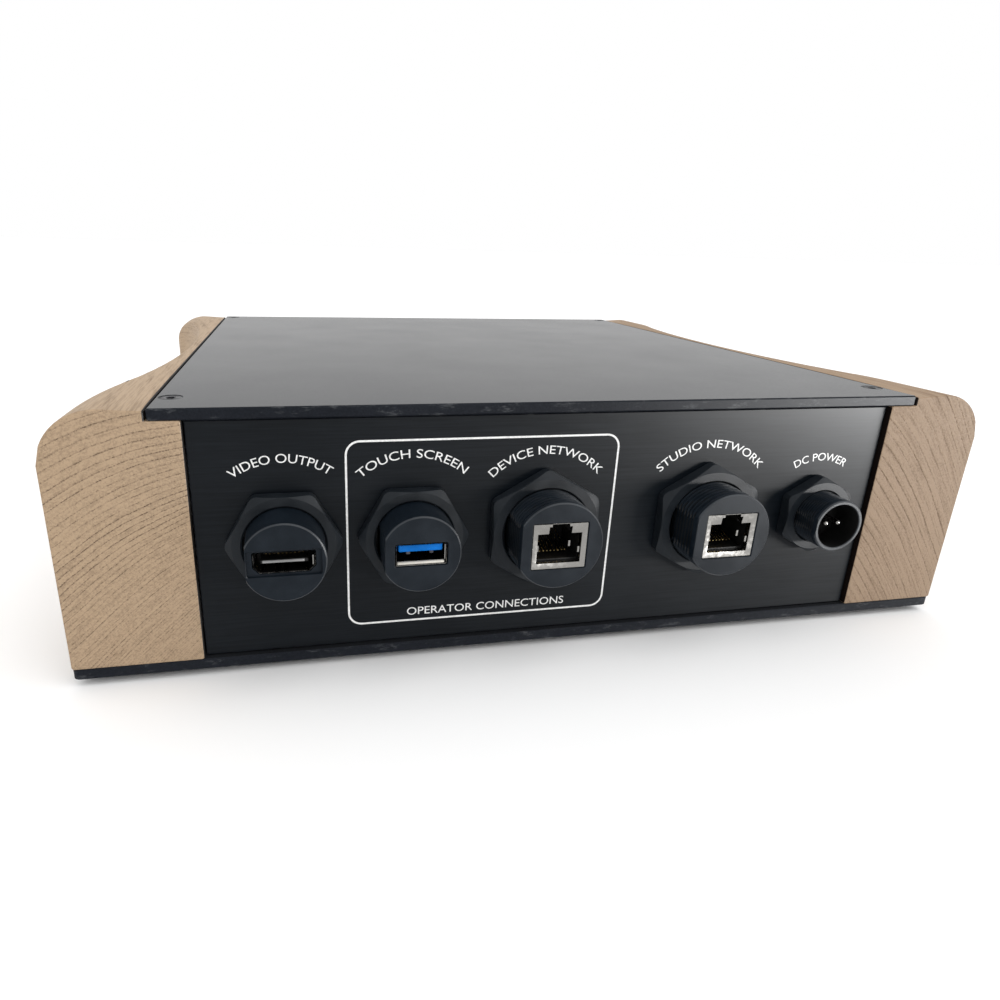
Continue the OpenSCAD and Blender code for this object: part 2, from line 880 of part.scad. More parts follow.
module button_housing() {
    color(steel) difference() {
        union() {
            disc_y(button_x, button_z, button_back_y, button_barrel_r, button_lip_y - button_back_y + 1);
            disc_y(button_x, button_z, button_lip_y, button_barrel_r + button_lip,
                button_front_y - button_lip_y);
        }
        disc_y(button_x, button_z, button_front_y - button_bore, button_cap_r + button_fit, button_bore + 1);
        difference() {
            disc_y(button_x, button_z, button_front_y - ring_t, ring_out_r, ring_t + 1);
            disc_y(button_x, button_z, button_front_y - ring_t - 1, ring_in_r, ring_t + 3);
        }
    }
}

module button_cap() {
    color(steel) disc_y(button_x, button_z, button_front_y - button_rest - button_cap_len, button_cap_r,
        button_cap_len);
}

module button_light_ring() {
    color("white") difference() {
        disc_y(button_x, button_z, button_front_y - ring_t, ring_out_r - ring_play, ring_t);
        disc_y(button_x, button_z, button_front_y - ring_t - 1, ring_in_r + ring_play, ring_t + 2);
    }
}

module button_nut() {
    color(steel) translate([button_x, front_in_y, button_z]) rotate([90, 0, 0]) difference() {
        cylinder(h = button_nut_t, r = button_nut_af / 2 / cos(30), $fn = 6);
        translate([0, 0, -1]) cylinder(h = button_nut_t + 2, r = button_barrel_r + nut_play);
    }
}

module button_seal() {
    color(rubber) difference() {
        disc_y(button_x, button_z, front_y - panel_inset, button_barrel_r + button_lip - button_seal_in,
            button_seal_t);
        disc_y(button_x, button_z, front_y - panel_inset - 1, button_barrel_r + seal_play, button_seal_t + 2);
    }
}

module button_lead() {
    color(rubber) lead([button_x, button_back_y, button_z],
        [button_header_x, board_rear_y + board_d, header_z], button_lead_r);
}

left_cheek();
right_cheek();
lid();
base_plate();
rear_panel();
front_panel();
rear_brackets();
front_brackets();
panel_studs();
panel_nuts();
bracket_screws();
lid_screws();
base_screws();
cheek_inserts();
rubber_feet();
video_port_body();
video_port_nut();
video_port_seal();
video_port_shell();
video_port_tongue();
touch_port_body();
touch_port_nut();
touch_port_seal();
touch_port_shell();
touch_port_tongue();
network_port_a_body();
network_port_a_nut();
network_port_a_seal();
network_port_a_jack();
network_port_a_shell();
network_port_a_contacts();
network_port_b_body();
network_port_b_nut();
network_port_b_seal();
network_port_b_jack();
network_port_b_shell();
network_port_b_contacts();
power_inlet_body();
power_inlet_nut();
power_inlet_seal();
power_inlet_pins();
main_board();
board_standoffs();
board_screws();
processor();
heat_sink();
board_headers();
power_module();
video_lead();
touch_lead();
network_lead_a();
network_lead_b();
power_lead();
button_housing();
button_cap();
button_light_ring();
button_nut();
button_seal();
button_lead();
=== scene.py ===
"""Looks of a desktop control console: a metal case between two scooped wooden cheeks.

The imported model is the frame. Every visible piece is a surface worked out here with numpy, in metres and in
the frame's own axes: +Z is up, the five ports face -Y and the power button faces +Y.
"""

import logging
import math
from dataclasses import dataclass, field
from enum import Enum

import bpy
import bmesh
import numpy as np
from mathutils import Matrix, Vector
from mathutils.geometry import tessellate_polygon


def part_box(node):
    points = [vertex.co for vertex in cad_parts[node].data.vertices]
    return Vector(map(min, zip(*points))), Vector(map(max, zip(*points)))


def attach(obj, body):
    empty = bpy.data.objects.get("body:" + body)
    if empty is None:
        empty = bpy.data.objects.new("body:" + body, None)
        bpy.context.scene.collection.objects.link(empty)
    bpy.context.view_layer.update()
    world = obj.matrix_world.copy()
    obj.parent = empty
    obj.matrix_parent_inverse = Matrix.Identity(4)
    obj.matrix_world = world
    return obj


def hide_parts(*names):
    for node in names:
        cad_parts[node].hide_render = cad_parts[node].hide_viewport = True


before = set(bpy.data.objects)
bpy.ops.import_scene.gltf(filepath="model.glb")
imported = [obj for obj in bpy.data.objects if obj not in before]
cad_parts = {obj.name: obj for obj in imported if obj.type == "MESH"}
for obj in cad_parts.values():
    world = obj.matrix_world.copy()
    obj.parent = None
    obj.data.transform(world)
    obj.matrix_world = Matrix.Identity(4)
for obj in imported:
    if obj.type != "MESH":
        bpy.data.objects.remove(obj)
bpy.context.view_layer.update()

LOG = logging.getLogger("console")
MM = 0.001
CASE = "case"
BUTTON = "button"
TURN = 2 * math.pi
SHARP = math.radians(32)

Array = np.ndarray


def linked(name: str, data: bpy.types.ID) -> bpy.types.Object:
    """Makes an object from its data and links it to the scene.

    Args:
        name: Name of the object.
        data: Its mesh, light, curve or camera.

    Returns:
        The object.
    """
    item = bpy.data.objects.new(name, data)
    bpy.context.scene.collection.objects.link(item)
    return item


# ---------------------------------------------------------------------------
# Surfaces
# ---------------------------------------------------------------------------


class Plane(Enum):
    """The plane that a flat outline lies in: its two axes, and the axis it is given thickness along."""

    PLAN = (0, 1, 2)
    UPRIGHT = (0, 2, 1)

    def lift(self, outline: Array, height: float | Array) -> Array:
        """Puts a flat outline in space.

        Args:
            outline: Points of the outline, n by 2.
            height: Place along the plane's normal axis, one number or one for each point.

        Returns:
            The points in space, n by 3.
        """
        points = np.empty((len(outline), 3))
        points[:, self.value[0]] = outline[:, 0]
        points[:, self.value[1]] = outline[:, 1]
        points[:, self.value[2]] = height
        return points


class Surface:
    """Collects the grids, caps and faces of one closed piece, then makes it a Blender object."""

    def __init__(self) -> None:
        """Starts with no points and no faces."""
        self.points: list[Array] = []
        self.faces: list[list[int]] = []
        self.tints: list[int] = []
        self.count = 0

    def add(self, points: Array, faces: Array | list, tint: int | Array = 0) -> None:
        """Adds points, and faces that index them.

        Args:
            points: Points in space; the last axis holds x, y and z.
            faces: Rows of point numbers, counted from the first of these points.
            tint: Which of the piece's finishes the faces take, one for all or one for each.
        """
        flat = np.asarray(points, float).reshape(-1, 3)
        rows = (np.asarray(faces, int) + self.count).tolist()
        self.points.append(flat)
        self.faces += rows
        self.tints += np.broadcast_to(tint, len(rows)).tolist()
        self.count += len(flat)

    def grid(self, points: Array, wrap_rows: bool = False, tint: int | Array = 0) -> None:
        """Adds a grid of quads: each closed row of points is joined to the next row.

        Args:
            points: Grid of points, rows by columns by 3.
            wrap_rows: Whether the last row also joins the first.
            tint: Which of the piece's finishes the quads take, one for all or one for each.
        """
        rows, columns = points.shape[:2]
        r = np.arange(rows if wrap_rows else rows - 1)[:, None]
        c = np.arange(columns)[None, :]
        r2, c2 = (r + 1) % rows, (c + 1) % columns
        quads = np.stack([r * columns + c, r * columns + c2, r2 * columns + c2, r2 * columns + c], -1)
        self.add(points, quads.reshape(-1, 4), tint)

    def cap(self, loops: list[Array], tint: int = 0) -> None:
        """Fills the flat region inside the first loop and outside the others with triangles.

        Args:
            loops: Closed outlines in one plane, each n by 3.
            tint: Which of the piece's finishes the triangles take.
        """
        triangles = tessellate_polygon([loop.tolist() for loop in loops])
        self.add(np.concatenate(loops), triangles, tint)

    def run(self, rings: Array) -> None:
        """Adds a run of rings and closes both of its ends.

        Args:
            rings: Rings of points, rings by steps by 3.
        """
        self.grid(rings)
        self.cap([rings[0]])
        self.cap([rings[-1]])

    def box(self, low: Array, high: Array, tint: int = 0, bevel: float = 0.1 * MM) -> None:
        """Adds a block between two corners, with its upright edges and rims cut by a small bevel.

        Args:
            low: Lowest corner.
            high: Highest corner.
            tint: Which of the piece's finishes it takes.
            bevel: Width of the bevel.
        """
        low, high = np.asarray(low, float), np.asarray(high, float)
        x0, y0, x1, y1 = low[0], low[1], high[0], high[1]
        b = bevel
        outline = np.array([[x0 + b, y0], [x1 - b, y0], [x1, y0 + b], [x1, y1 - b],
                            [x1 - b, y1], [x0 + b, y1], [x0, y1 - b], [x0, y0 + b]])
        self.plate(Plane.PLAN, outline, [], low[2], high[2], bevel, tint)

    def plate(self, plane: Plane, outline: Array, holes: list["Hole"], low: float, high: float,
              bevel: float, tint: int = 0, rim_tint: int | None = None) -> None:
        """Adds a flat plate: its outline and holes carried from low to high, with bevelled rims.

        Args:
            plane: Plane that the outline lies in.
            outline: Outer outline, n by 2, anticlockwise.
            holes: Holes through the plate.
            low: Place of the lower face along the plane's normal.
            high: Place of the upper face.
            bevel: Width of the outer edge's bevel.
            tint: Finish of the faces.
            rim_tint: Finish of the outer rim, or None for the same.
        """
        edge = [(-bevel, low), (0.0, low + bevel), (0.0, high - bevel), (-bevel, high)]
        lower, upper = [], []
        rims = [(outline, edge)] + [(hole.outline, hole.rim(low, high)) for hole in holes]
        for number, (loop, rim) in enumerate(rims):
            rings = np.stack([plane.lift(offset_loop(loop, out), at) for out, at in rim])
            self.grid(rings, tint=tint if number or rim_tint is None else rim_tint)
            lower.append(rings[0])
            upper.append(rings[-1])
        self.cap(lower, tint)
        self.cap(upper, tint)

    def piece(self, name: str, finishes: "Finish | list[Finish]", replaces: tuple[str, ...] = (),
              body: str = CASE, sharp: float = SHARP) -> bpy.types.Object:
        """Makes the Blender object: welds its seams, points its faces outwards and dresses it.

        Args:
            name: Name of the piece.
            finishes: The finish, or one for each tint.
            replaces: CAD nodes that the piece stands for.
            body: CAD body that it rides on.
            sharp: Edges between faces turned by more than this angle stay sharp.

        Returns:
            The finished object.
        """
        mesh = bpy.data.meshes.new(name)
        mesh.from_pydata(np.concatenate(self.points).tolist(), [], self.faces)
        mesh.polygons.foreach_set("material_index", np.array(self.tints, dtype=np.int32))
        work = bmesh.new()
        work.from_mesh(mesh)
        bmesh.ops.remove_doubles(work, verts=work.verts, dist=2e-6)
        bmesh.ops.dissolve_degenerate(work, edges=work.edges, dist=1e-6)
        bmesh.ops.recalc_face_normals(work, faces=work.faces)
        work.to_mesh(mesh)
        work.free()
        mesh.polygons.foreach_set("use_smooth", np.ones(len(mesh.polygons), dtype=bool))
        mesh.set_sharp_from_angle(angle=sharp)
        mesh.update()
        item = linked(name, mesh)
        chosen = finishes if isinstance(finishes, list) else [finishes]
        for finish in chosen:
            mesh.materials.append(finish.material())
        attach(item, body)
        if replaces:
            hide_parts(*replaces)
        LOG.info("%s: %d faces on %s", name, len(mesh.polygons), body)
        return item


@dataclass
class Hole:
    """A hole in a plate: its outline, and how much wider it is at each face."""

    outline: Array
    low_flare: float = 0.1 * MM
    high_flare: float = 0.1 * MM
    high_depth: float = 0.1 * MM
    low_depth: float = 0.1 * MM

    def rim(self, low: float, high: float) -> list[tuple[float, float]]:
        """Steps of the wall from the lower face to the upper one, as (offset, height) pairs."""
        return [(self.low_flare, low), (0.0, low + self.low_depth),
                (0.0, high - self.high_depth), (self.high_flare, high)]


def offset_loop(loop: Array, distance: float | Array) -> Array:
    """Moves closed outlines outwards, keeping their corners mitred.

    The miter at a corner is the sum of the two edge normals over one plus their dot product.

    Args:
        loop: Outline or outlines, with the last two axes n by 2, anticlockwise.
        distance: How far to move them; negative is inwards.

    Returns:
        The moved outlines.
    """
    edge = np.roll(loop, -1, -2) - loop
    edge = edge / np.linalg.norm(edge, axis=-1, keepdims=True)
    normal = np.stack([edge[..., 1], -edge[..., 0]], -1)
    before = np.roll(normal, 1, -2)
    miter = (normal + before) / (1 + (normal * before).sum(-1, keepdims=True))
    return loop + distance * miter


def circle(x: float, y: float, radius: float, steps: int = 64, flat: float | None = None) -> Array:
    """A circle, cut by an upright flat at its left if flat is given.

    Args:
        x: Centre, first axis.
        y: Centre, second axis.
        radius: Radius.
        steps: Number of points.
        flat: Distance from the centre to the flat.

    Returns:
        The outline, anticlockwise.
    """
    angle = np.arange(steps) * TURN / steps
    across = radius * np.cos(angle)
    if flat is not None:
        across = np.maximum(across, -flat)
    return np.stack([x + across, y + radius * np.sin(angle)], 1)


def rounded_rectangle(x: float, y: float, width: float, height: float, radius: float,
                      steps: int = 8) -> Array:
    """A rectangle about a centre with quarter circles at its corners, anticlockwise.

    Args:
        x: Centre, first axis.
        y: Centre, second axis.
        width: Full width.
        height: Full height.
        radius: Radius of the corners.
        steps: Points in each quarter circle.

    Returns:
        The outline.
    """
    turn = np.linspace(0, math.pi / 2, steps)
    quarter = radius * np.stack([np.cos(turn), np.sin(turn)], 1)
    w, h = width / 2 - radius, height / 2 - radius
    parts = []
    for number, (sx, sy) in enumerate([(1, 1), (-1, 1), (-1, -1), (1, -1)]):
        a = number * math.pi / 2
        spin = np.array([[math.cos(a), math.sin(a)], [-math.sin(a), math.cos(a)]])
        parts.append(quarter @ spin + [x + sx * w, y + sy * h])
    return np.concatenate(parts)


def rectangle_in(low: Vector, high: Vector, plane: Plane, radius: float, steps: int,
                 grow: float = 0.0) -> Array:
    """A rounded rectangle that fills a box's outline in a plane.

    Args:
        low: Lowest corner of the box.
        high: Highest corner of the box.
        plane: Plane that the outline lies in.
        radius: Radius of the corners.
        steps: Points in each quarter circle.
        grow: How far each side stands outside the box.

    Returns:
        The outline.
    """
    a, b = plane.value[:2]
    return rounded_rectangle((low[a] + high[a]) / 2, (low[b] + high[b]) / 2, high[a] - low[a] + 2 * grow,
                             high[b] - low[b] + 2 * grow, radius, steps)


def hexagon(steps: int) -> tuple[Array, Array]:
    """Angles round a hexagon with a unit distance to its flats, and the radius at each.

    Args:
        steps: Points along one side.

    Returns:
        The angles, with one at every corner, and the radii, one over the cosine of the angle from the flat.
    """
    angle = np.arange(6 * steps) * TURN / (6 * steps)
    from_flat = np.mod(angle, TURN / 6) - TURN / 12
    return angle, 1 / np.cos(from_flat)


# ---------------------------------------------------------------------------
# Finishes
# ---------------------------------------------------------------------------

Socket = bpy.types.NodeSocket
Value = float | Socket


class Graph:
    """A material's node tree, with short ways to add the nodes that the finishes share."""

    def __init__(self, name: str) -> None:
        """Makes a material with one Principled shader.

        Args:
            name: Name of the material.
        """
        self.material = bpy.data.materials.new(name)
        self.material.use_nodes = True
        self.tree = self.material.node_tree
        self.shader = self.tree.nodes["Principled BSDF"]
        self.place = self.node("ShaderNodeTexCoord").outputs["Object"]

    def node(self, kind: str, **settings: object) -> bpy.types.Node:
        """Adds one node and sets its properties.

        Args:
            kind: The node's type.
            **settings: Its properties.

        Returns:
            The node.
        """
        made = self.tree.nodes.new(kind)
        for key, value in settings.items():
            setattr(made, key, value)
        return made

    def put(self, socket: Socket, value: object) -> None:
        """Links an input to another socket, or sets it to a constant.

        Args:
            socket: The input.
            value: What it takes.
        """
        if isinstance(value, bpy.types.NodeSocket):
            self.tree.links.new(value, socket)
        else:
            socket.default_value = value

    def shade(self, **values: object) -> None:
        """Sets the shader's inputs, with underscores for the spaces in their names."""
        for key, value in values.items():
            self.put(self.shader.inputs[key.replace("_", " ")], value)

    def math(self, operation: str, a: Value, b: Value = 0.0, clamp: bool = False) -> Socket:
        """Adds a Math node.

        Args:
            operation: Name of the operation, such as MULTIPLY.
            a: First value.
            b: Second value.
            clamp: Whether the result is kept from 0 to 1.

        Returns:
            The result.
        """
        made = self.node("ShaderNodeMath", operation=operation, use_clamp=clamp)
        self.put(made.inputs[0], a)
        self.put(made.inputs[1], b)
        return made.outputs[0]

    def stretched(self, scale: tuple[float, float, float]) -> Socket:
        """Object coordinates multiplied by a scale along each axis.

        Args:
            scale: The three scales.

        Returns:
            The scaled coordinates.
        """
        made = self.node("ShaderNodeMapping")
        self.put(made.inputs["Vector"], self.place)
        made.inputs["Scale"].default_value = scale
        return made.outputs[0]

    def noise(self, scale: float, detail: float = 2.0, where: Socket | None = None,
              rough: float = 0.5) -> Socket:
        """Smooth noise from 0 to 1.

        Args:
            scale: Features in each metre.
            detail: Number of finer layers.
            where: Coordinates, or None for the object's own.
            rough: Strength of the finer layers.

        Returns:
            The noise.
        """
        made = self.node("ShaderNodeTexNoise")
        self.put(made.inputs["Vector"], where or self.place)
        made.inputs["Scale"].default_value = scale
        made.inputs["Detail"].default_value = detail
        made.inputs["Roughness"].default_value = rough
        return made.outputs["Fac"]

    def spread(self, value: Socket, low: float, high: float, to_low: float = 0.0,
               to_high: float = 1.0) -> Socket:
        """Maps one range to another along a smooth step, and holds the ends.

        Args:
            value: The value to map.
            low: Start of its range.
            high: End of its range.
            to_low: Result at the start.
            to_high: Result at the end.

        Returns:
            The mapped value.
        """
        made = self.node("ShaderNodeMapRange", interpolation_type="SMOOTHSTEP")
        for number, entry in enumerate((value, low, high, to_low, to_high)):
            self.put(made.inputs[number], entry)
        return made.outputs[0]

    def mix(self, factor: Value, a: object, b: object) -> Socket:
        """Mixes two colours.

        Args:
            factor: 0 for the first, 1 for the second.
            a: First colour.
            b: Second colour.

        Returns:
            The mixed colour.
        """
        made = self.node("ShaderNodeMix", data_type="RGBA")
        self.put(made.inputs["Factor"], factor)
        self.put(made.inputs["A"], a if isinstance(a, bpy.types.NodeSocket) else (*a, 1.0))
        self.put(made.inputs["B"], b if isinstance(b, bpy.types.NodeSocket) else (*b, 1.0))
        return made.outputs["Result"]

    def bump(self, height: Socket, depth: float) -> Socket:
        """Normals bent by a height pattern.

        Args:
            height: The pattern, from 0 to 1.
            depth: Its depth in metres.

        Returns:
            The bent normals.
        """
        made = self.node("ShaderNodeBump")
        made.inputs["Strength"].default_value = 1.0
        made.inputs["Distance"].default_value = depth
        self.put(made.inputs["Height"], height)
        return made.outputs[0]

    def axes(self, vector: Socket) -> tuple[Socket, Socket, Socket]:
        """Splits a vector.

        Args:
            vector: The vector.

        Returns:
            Its x, y and z.
        """
        made = self.node("ShaderNodeSeparateXYZ")
        self.put(made.inputs[0], vector)
        return tuple(made.outputs)


@dataclass(frozen=True)
class Finish:
    """A surface finish: its material's name and the record's slot it belongs to."""

    name: str
    slot: str

    def material(self) -> bpy.types.Material:
        """Makes the finish's material the first time it is asked for.

        Returns:
            The material.
        """
        ready = bpy.data.materials.get(self.name)
        if ready is None:
            graph = Graph(self.name)
            self.draw(graph)
            ready = graph.material
        return ready

    def draw(self, graph: Graph) -> None:
        """Draws the finish's nodes; each kind of finish has its own.

        Args:
            graph: The material's graph.
        """
        raise NotImplementedError


@dataclass(frozen=True)
class RingWood(Finish):
    """Solid ring-porous timber, with its grain along Y and its year rings across X and Z.

    Lengths are in millimetres. Each ring's line has a slope that grows towards the foot of the cheek and
    bends across it. Shade is painted near black on the wood inside the case and in the seam beside the lid.
    """

    middle_x: float = -114.0
    half_w: float = 16.0
    top_z: float = 65.0
    tall: float = 60.0
    pith_drop: float = 20.0
    slope: tuple[float, float] = (0.32, 0.74)
    bow: tuple[float, float] = (-0.15, 0.35)
    ring: float = 0.37
    ring_growth: float = 0.055
    lean: float = 0.05
    streak: float = 1.05
    fibre: float = 1300.0
    level: float = 0.24
    light: tuple[float, float, float] = (0.42, 0.300, 0.192)
    dark: tuple[float, float, float] = (0.094, 0.058, 0.032)
    # Painted shade: a near-black colour for the wood inside the case and in the seam beside the lid.
    painted_shade_colour: tuple[float, float, float] = (0.010, 0.007, 0.006)
    shade_inner_x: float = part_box("right_cheek")[0].x / MM + 0.12
    seam_shade_x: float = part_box("lid")[1].x / MM + 0.85
    seam_shade_z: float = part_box("lid")[0].z / MM + 0.05

    def field(self, g: Graph) -> Socket:
        """Height of the ring line through a point: its z less the slope and bow terms, with slow wander.

        Args:
            g: The material's graph.

        Returns:
            The height, in millimetres.
        """
        x, y, z = (g.math("MULTIPLY", axis, 1 / MM) for axis in g.axes(g.place))
        across = g.math("DIVIDE", g.math("SUBTRACT", x, self.middle_x), self.half_w)
        down = g.math("DIVIDE", g.math("SUBTRACT", self.top_z, z), self.tall)
        slope = g.math("ADD", g.math("MULTIPLY", down, self.slope[1]), self.slope[0])
        bow = g.math("ADD", g.math("MULTIPLY", down, self.bow[1]), self.bow[0])
        bent = g.math("MULTIPLY", g.math("MULTIPLY", bow, 0.5), g.math("MULTIPLY", across, across))
        rise = g.math("MULTIPLY", g.math("ADD", g.math("MULTIPLY", slope, across), bent), self.half_w)
        height = g.math("SUBTRACT", z, g.math("ADD", rise, g.math("MULTIPLY", y, self.lean)))
        for scale, stretch, reach in ((18.0, 0.45, 3.0), (95.0, 0.15, 0.9), (700.0, 0.04, 0.26)):
            wander = g.math("SUBTRACT", g.noise(scale, 2.0, g.stretched((1.0, stretch, 1.0))), 0.5)
            height = g.math("ADD", height, g.math("MULTIPLY", wander, reach))
        return height

    def draw(self, graph: Graph) -> None:
        """The ring number is the logarithm of the height, so rings widen upwards; pores crowd on each line.

        Args:
            graph: The material's graph.
        """
        g = graph
        height = self.field(g)
        above_pith = g.math("ADD", height, self.pith_drop)
        grown = g.math("ADD", g.math("MULTIPLY", above_pith, self.ring_growth), 1.0)
        ring = g.math("DIVIDE", g.math("LOGARITHM", grown, math.e), self.ring_growth * self.ring)
        part = g.math("FRACT", ring)
        pick = g.node("ShaderNodeTexWhiteNoise", noise_dimensions="1D")
        g.put(pick.inputs["W"], g.math("FLOOR", ring))
        force = g.spread(pick.outputs["Value"], 0.0, 1.0, 0.25, 1.0)
        early = g.spread(part, 0.0, 0.20, 1.0, 0.0)
        late = g.spread(part, 0.92, 1.0, 0.0, 0.9)
        facing = g.axes(g.node("ShaderNodeNewGeometry").outputs["Normal"])[1]
        cut_end = g.spread(g.math("ABSOLUTE", facing), 0.3, 0.8, 0.34, 1.0)
        line = g.math("MULTIPLY", g.math("MULTIPLY", g.math("MAXIMUM", early, late), force), cut_end)
        dots = g.noise(2100.0, 2.0, g.stretched((1.0, 0.03, 1.0)), 0.75)
        pores = g.spread(dots, 0.45, 0.60)
        porous = g.math("MULTIPLY", pores, g.math("ADD", g.math("MULTIPLY", line, 0.45), 0.35))
        across, length, _ = g.axes(g.stretched((0.16, 0.02, 1.0)))
        along = g.node("ShaderNodeCombineXYZ")
        for number, axis in enumerate((across, length, g.math("MULTIPLY", height, MM))):
            g.put(along.inputs[number], axis)
        fibre = g.math("SUBTRACT", g.noise(self.fibre, 4.0, along.outputs[0], 0.7), 0.5)
        cloud = g.math("SUBTRACT", g.noise(30.0, 3.0, g.stretched((1.0, 0.3, 1.0))), 0.5)
        shade = g.math("ADD", g.math("MULTIPLY", line, 0.44), g.math("MULTIPLY", porous, 0.74))
        shade = g.math("ADD", shade, g.math("MULTIPLY", fibre, self.streak))
        shade = g.math("ADD", shade, g.math("MULTIPLY", cloud, 0.35), clamp=True)
        relief = g.math("SUBTRACT", 1.0, g.math("ADD", porous, g.math("MULTIPLY", line, 0.4)))
        # Painted shade: the inner faces inside the case and the seam wall beside the lid take the near-black
        # colour.
        side, _, rise = g.axes(g.place)
        reach = g.math("MULTIPLY", g.math("ABSOLUTE", side), 1 / MM)
        above = g.math("GREATER_THAN", g.math("MULTIPLY", rise, 1 / MM), self.seam_shade_z)
        seam_shade = g.math("MULTIPLY", g.math("LESS_THAN", reach, self.seam_shade_x), above)
        painted_shade = g.math("MAXIMUM", g.math("LESS_THAN", reach, self.shade_inner_x), seam_shade)
        colour = g.mix(painted_shade, g.mix(shade, self.light, self.dark), self.painted_shade_colour)
        g.shade(Base_Color=colour, Specular_IOR_Level=self.level,
                Roughness=g.spread(shade, 0.0, 1.0, 0.52, 0.72), Normal=g.bump(relief, 0.1 * MM))


class Grain(Enum):
    """Which way the fine scratches of a sheet run: the stretch of the noise along each axis."""

    ALONG_X = (0.03, 1.0, 1.0)
    NONE = (1.0, 1.0, 1.0)


@dataclass(frozen=True)
class Anodised(Finish):
    """Dyed anodised sheet: near black under a thin satin skin, with fine grain and faint handling marks."""

    colour: tuple[float, float, float] = (0.012, 0.013, 0.015)
    smooth: float = 0.30
    dull: float = 0.44
    grain: Grain = Grain.NONE
    depth: float = 0.000006
    level: float = 0.5
    ior: float = 1.45
    wear: float = 0.0

    def draw(self, graph: Graph) -> None:
        """Roughness follows handling marks and the grain, the bump the grain alone; wear shows as nicks.

        Args:
            graph: The material's graph.
        """
        g = graph
        fine = g.noise(2600.0, 2.0, g.stretched(self.grain.value))
        cloud = g.noise(26.0, 4.0, rough=0.6)
        wipe = g.noise(9.0, 2.0, g.stretched((1.0, 0.25, 1.0)))
        mark = g.math("ADD", g.math("MULTIPLY", fine, 0.45), g.math("MULTIPLY", cloud, 0.35))
        mark = g.math("ADD", mark, g.math("MULTIPLY", wipe, 0.2))
        paler = tuple(min(1.0, c * 1.7 + 0.004) for c in self.colour)
        chips = g.noise(420.0, 5.0, g.stretched((0.35, 1.0, 1.0)), 0.75)
        nicks = g.spread(chips, 0.54, 0.68, 0.0, self.wear)
        tone = g.mix(nicks, g.mix(g.spread(mark, 0.3, 0.7), self.colour, paler), (0.10, 0.105, 0.11))
        g.shade(Base_Color=tone, Metallic=0.0, Specular_IOR_Level=self.level, IOR=self.ior,
                Roughness=g.spread(mark, 0.3, 0.7, self.smooth, self.dull), Normal=g.bump(fine, self.depth))


@dataclass(frozen=True)
class Moulded(Finish):
    """Moulded plastic or rubber with a fine spark-eroded skin."""

    colour: tuple[float, float, float] = (0.02, 0.021, 0.023)
    roughness: float = 0.5
    depth: float = 0.00003
    level: float = 0.5

    def draw(self, graph: Graph) -> None:
        """The bump is fine noise; the colour and roughness drift a little with slower noise.

        Args:
            graph: The material's graph.
        """
        g = graph
        skin = g.noise(3400.0, 2.0)
        drift = g.noise(140.0, 3.0)
        paler = tuple(min(1.0, c * 1.35 + 0.002) for c in self.colour)
        g.shade(Base_Color=g.mix(g.spread(drift, 0.3, 0.7), self.colour, paler),
                Specular_IOR_Level=self.level,
                Roughness=g.spread(drift, 0.3, 0.7, self.roughness - 0.06, self.roughness + 0.06),
                Normal=g.bump(skin, self.depth))


@dataclass(frozen=True)
class Metal(Finish):
    """Bare or plated metal with faint drawing marks."""

    colour: tuple[float, float, float] = (0.7, 0.69, 0.66)
    roughness: float = 0.28
    stretch: tuple[float, float, float] = (1.0, 0.1, 1.0)

    def draw(self, graph: Graph) -> None:
        """Noise stretched along the drawing direction sets the roughness and a very shallow bump.

        Args:
            graph: The material's graph.
        """
        g = graph
        marks = g.noise(900.0, 2.0, g.stretched(self.stretch))
        darker = tuple(c * 0.86 for c in self.colour)
        g.shade(Base_Color=g.mix(g.spread(marks, 0.3, 0.75), self.colour, darker), Metallic=1.0,
                Roughness=g.spread(marks, 0.3, 0.7, self.roughness - 0.07, self.roughness + 0.08),
                Normal=g.bump(marks, 0.000002))


@dataclass(frozen=True)
class Ink(Finish):
    """Screen-printed ink, slightly uneven."""

    colour: tuple[float, float, float] = (0.85, 0.85, 0.84)

    def draw(self, graph: Graph) -> None:
        """The colour thins a little where slow noise is low.

        Args:
            graph: The material's graph.
        """
        g = graph
        cover = g.noise(1800.0, 3.0)
        thin = tuple(c * 0.82 for c in self.colour)
        g.shade(Base_Color=g.mix(g.spread(cover, 0.35, 0.6), thin, self.colour), Roughness=0.5,
                Normal=g.bump(cover, 0.00001))


@dataclass(frozen=True)
class BoardMask(Finish):
    """Green solder mask with copper tracks under it."""

    def draw(self, graph: Graph) -> None:
        """Tracks show where a brick pattern of thin lines runs under the mask.

        Args:
            graph: The material's graph.
        """
        g = graph
        bricks = g.node("ShaderNodeTexBrick")
        g.put(bricks.inputs["Vector"], g.stretched((1.0, 1.0, 1.0)))
        bricks.inputs["Scale"].default_value = 150.0
        bricks.inputs["Mortar Size"].default_value = 0.03
        bricks.inputs["Color1"].default_value = (0.01, 0.11, 0.05, 1)
        bricks.inputs["Color2"].default_value = (0.012, 0.13, 0.06, 1)
        bricks.inputs["Mortar"].default_value = (0.03, 0.24, 0.10, 1)
        g.shade(Base_Color=bricks.outputs["Color"], Roughness=0.3,
                Normal=g.bump(bricks.outputs["Fac"], 0.00003))


@dataclass(frozen=True)
class Glow(Finish):
    """A milky light ring, dimly lit."""

    colour: tuple[float, float, float] = (0.55, 0.75, 1.0)

    def draw(self, graph: Graph) -> None:
        """The light is a constant colour; slow noise breaks up the milky skin.

        Args:
            graph: The material's graph.
        """
        g = graph
        milk = g.noise(900.0, 2.0)
        g.shade(Base_Color=g.mix(milk, (0.75, 0.8, 0.85), (0.6, 0.66, 0.72)), Roughness=0.35)
        g.shader.inputs["Emission Color"].default_value = (*self.colour, 1.0)
        g.shader.inputs["Emission Strength"].default_value = 0.6


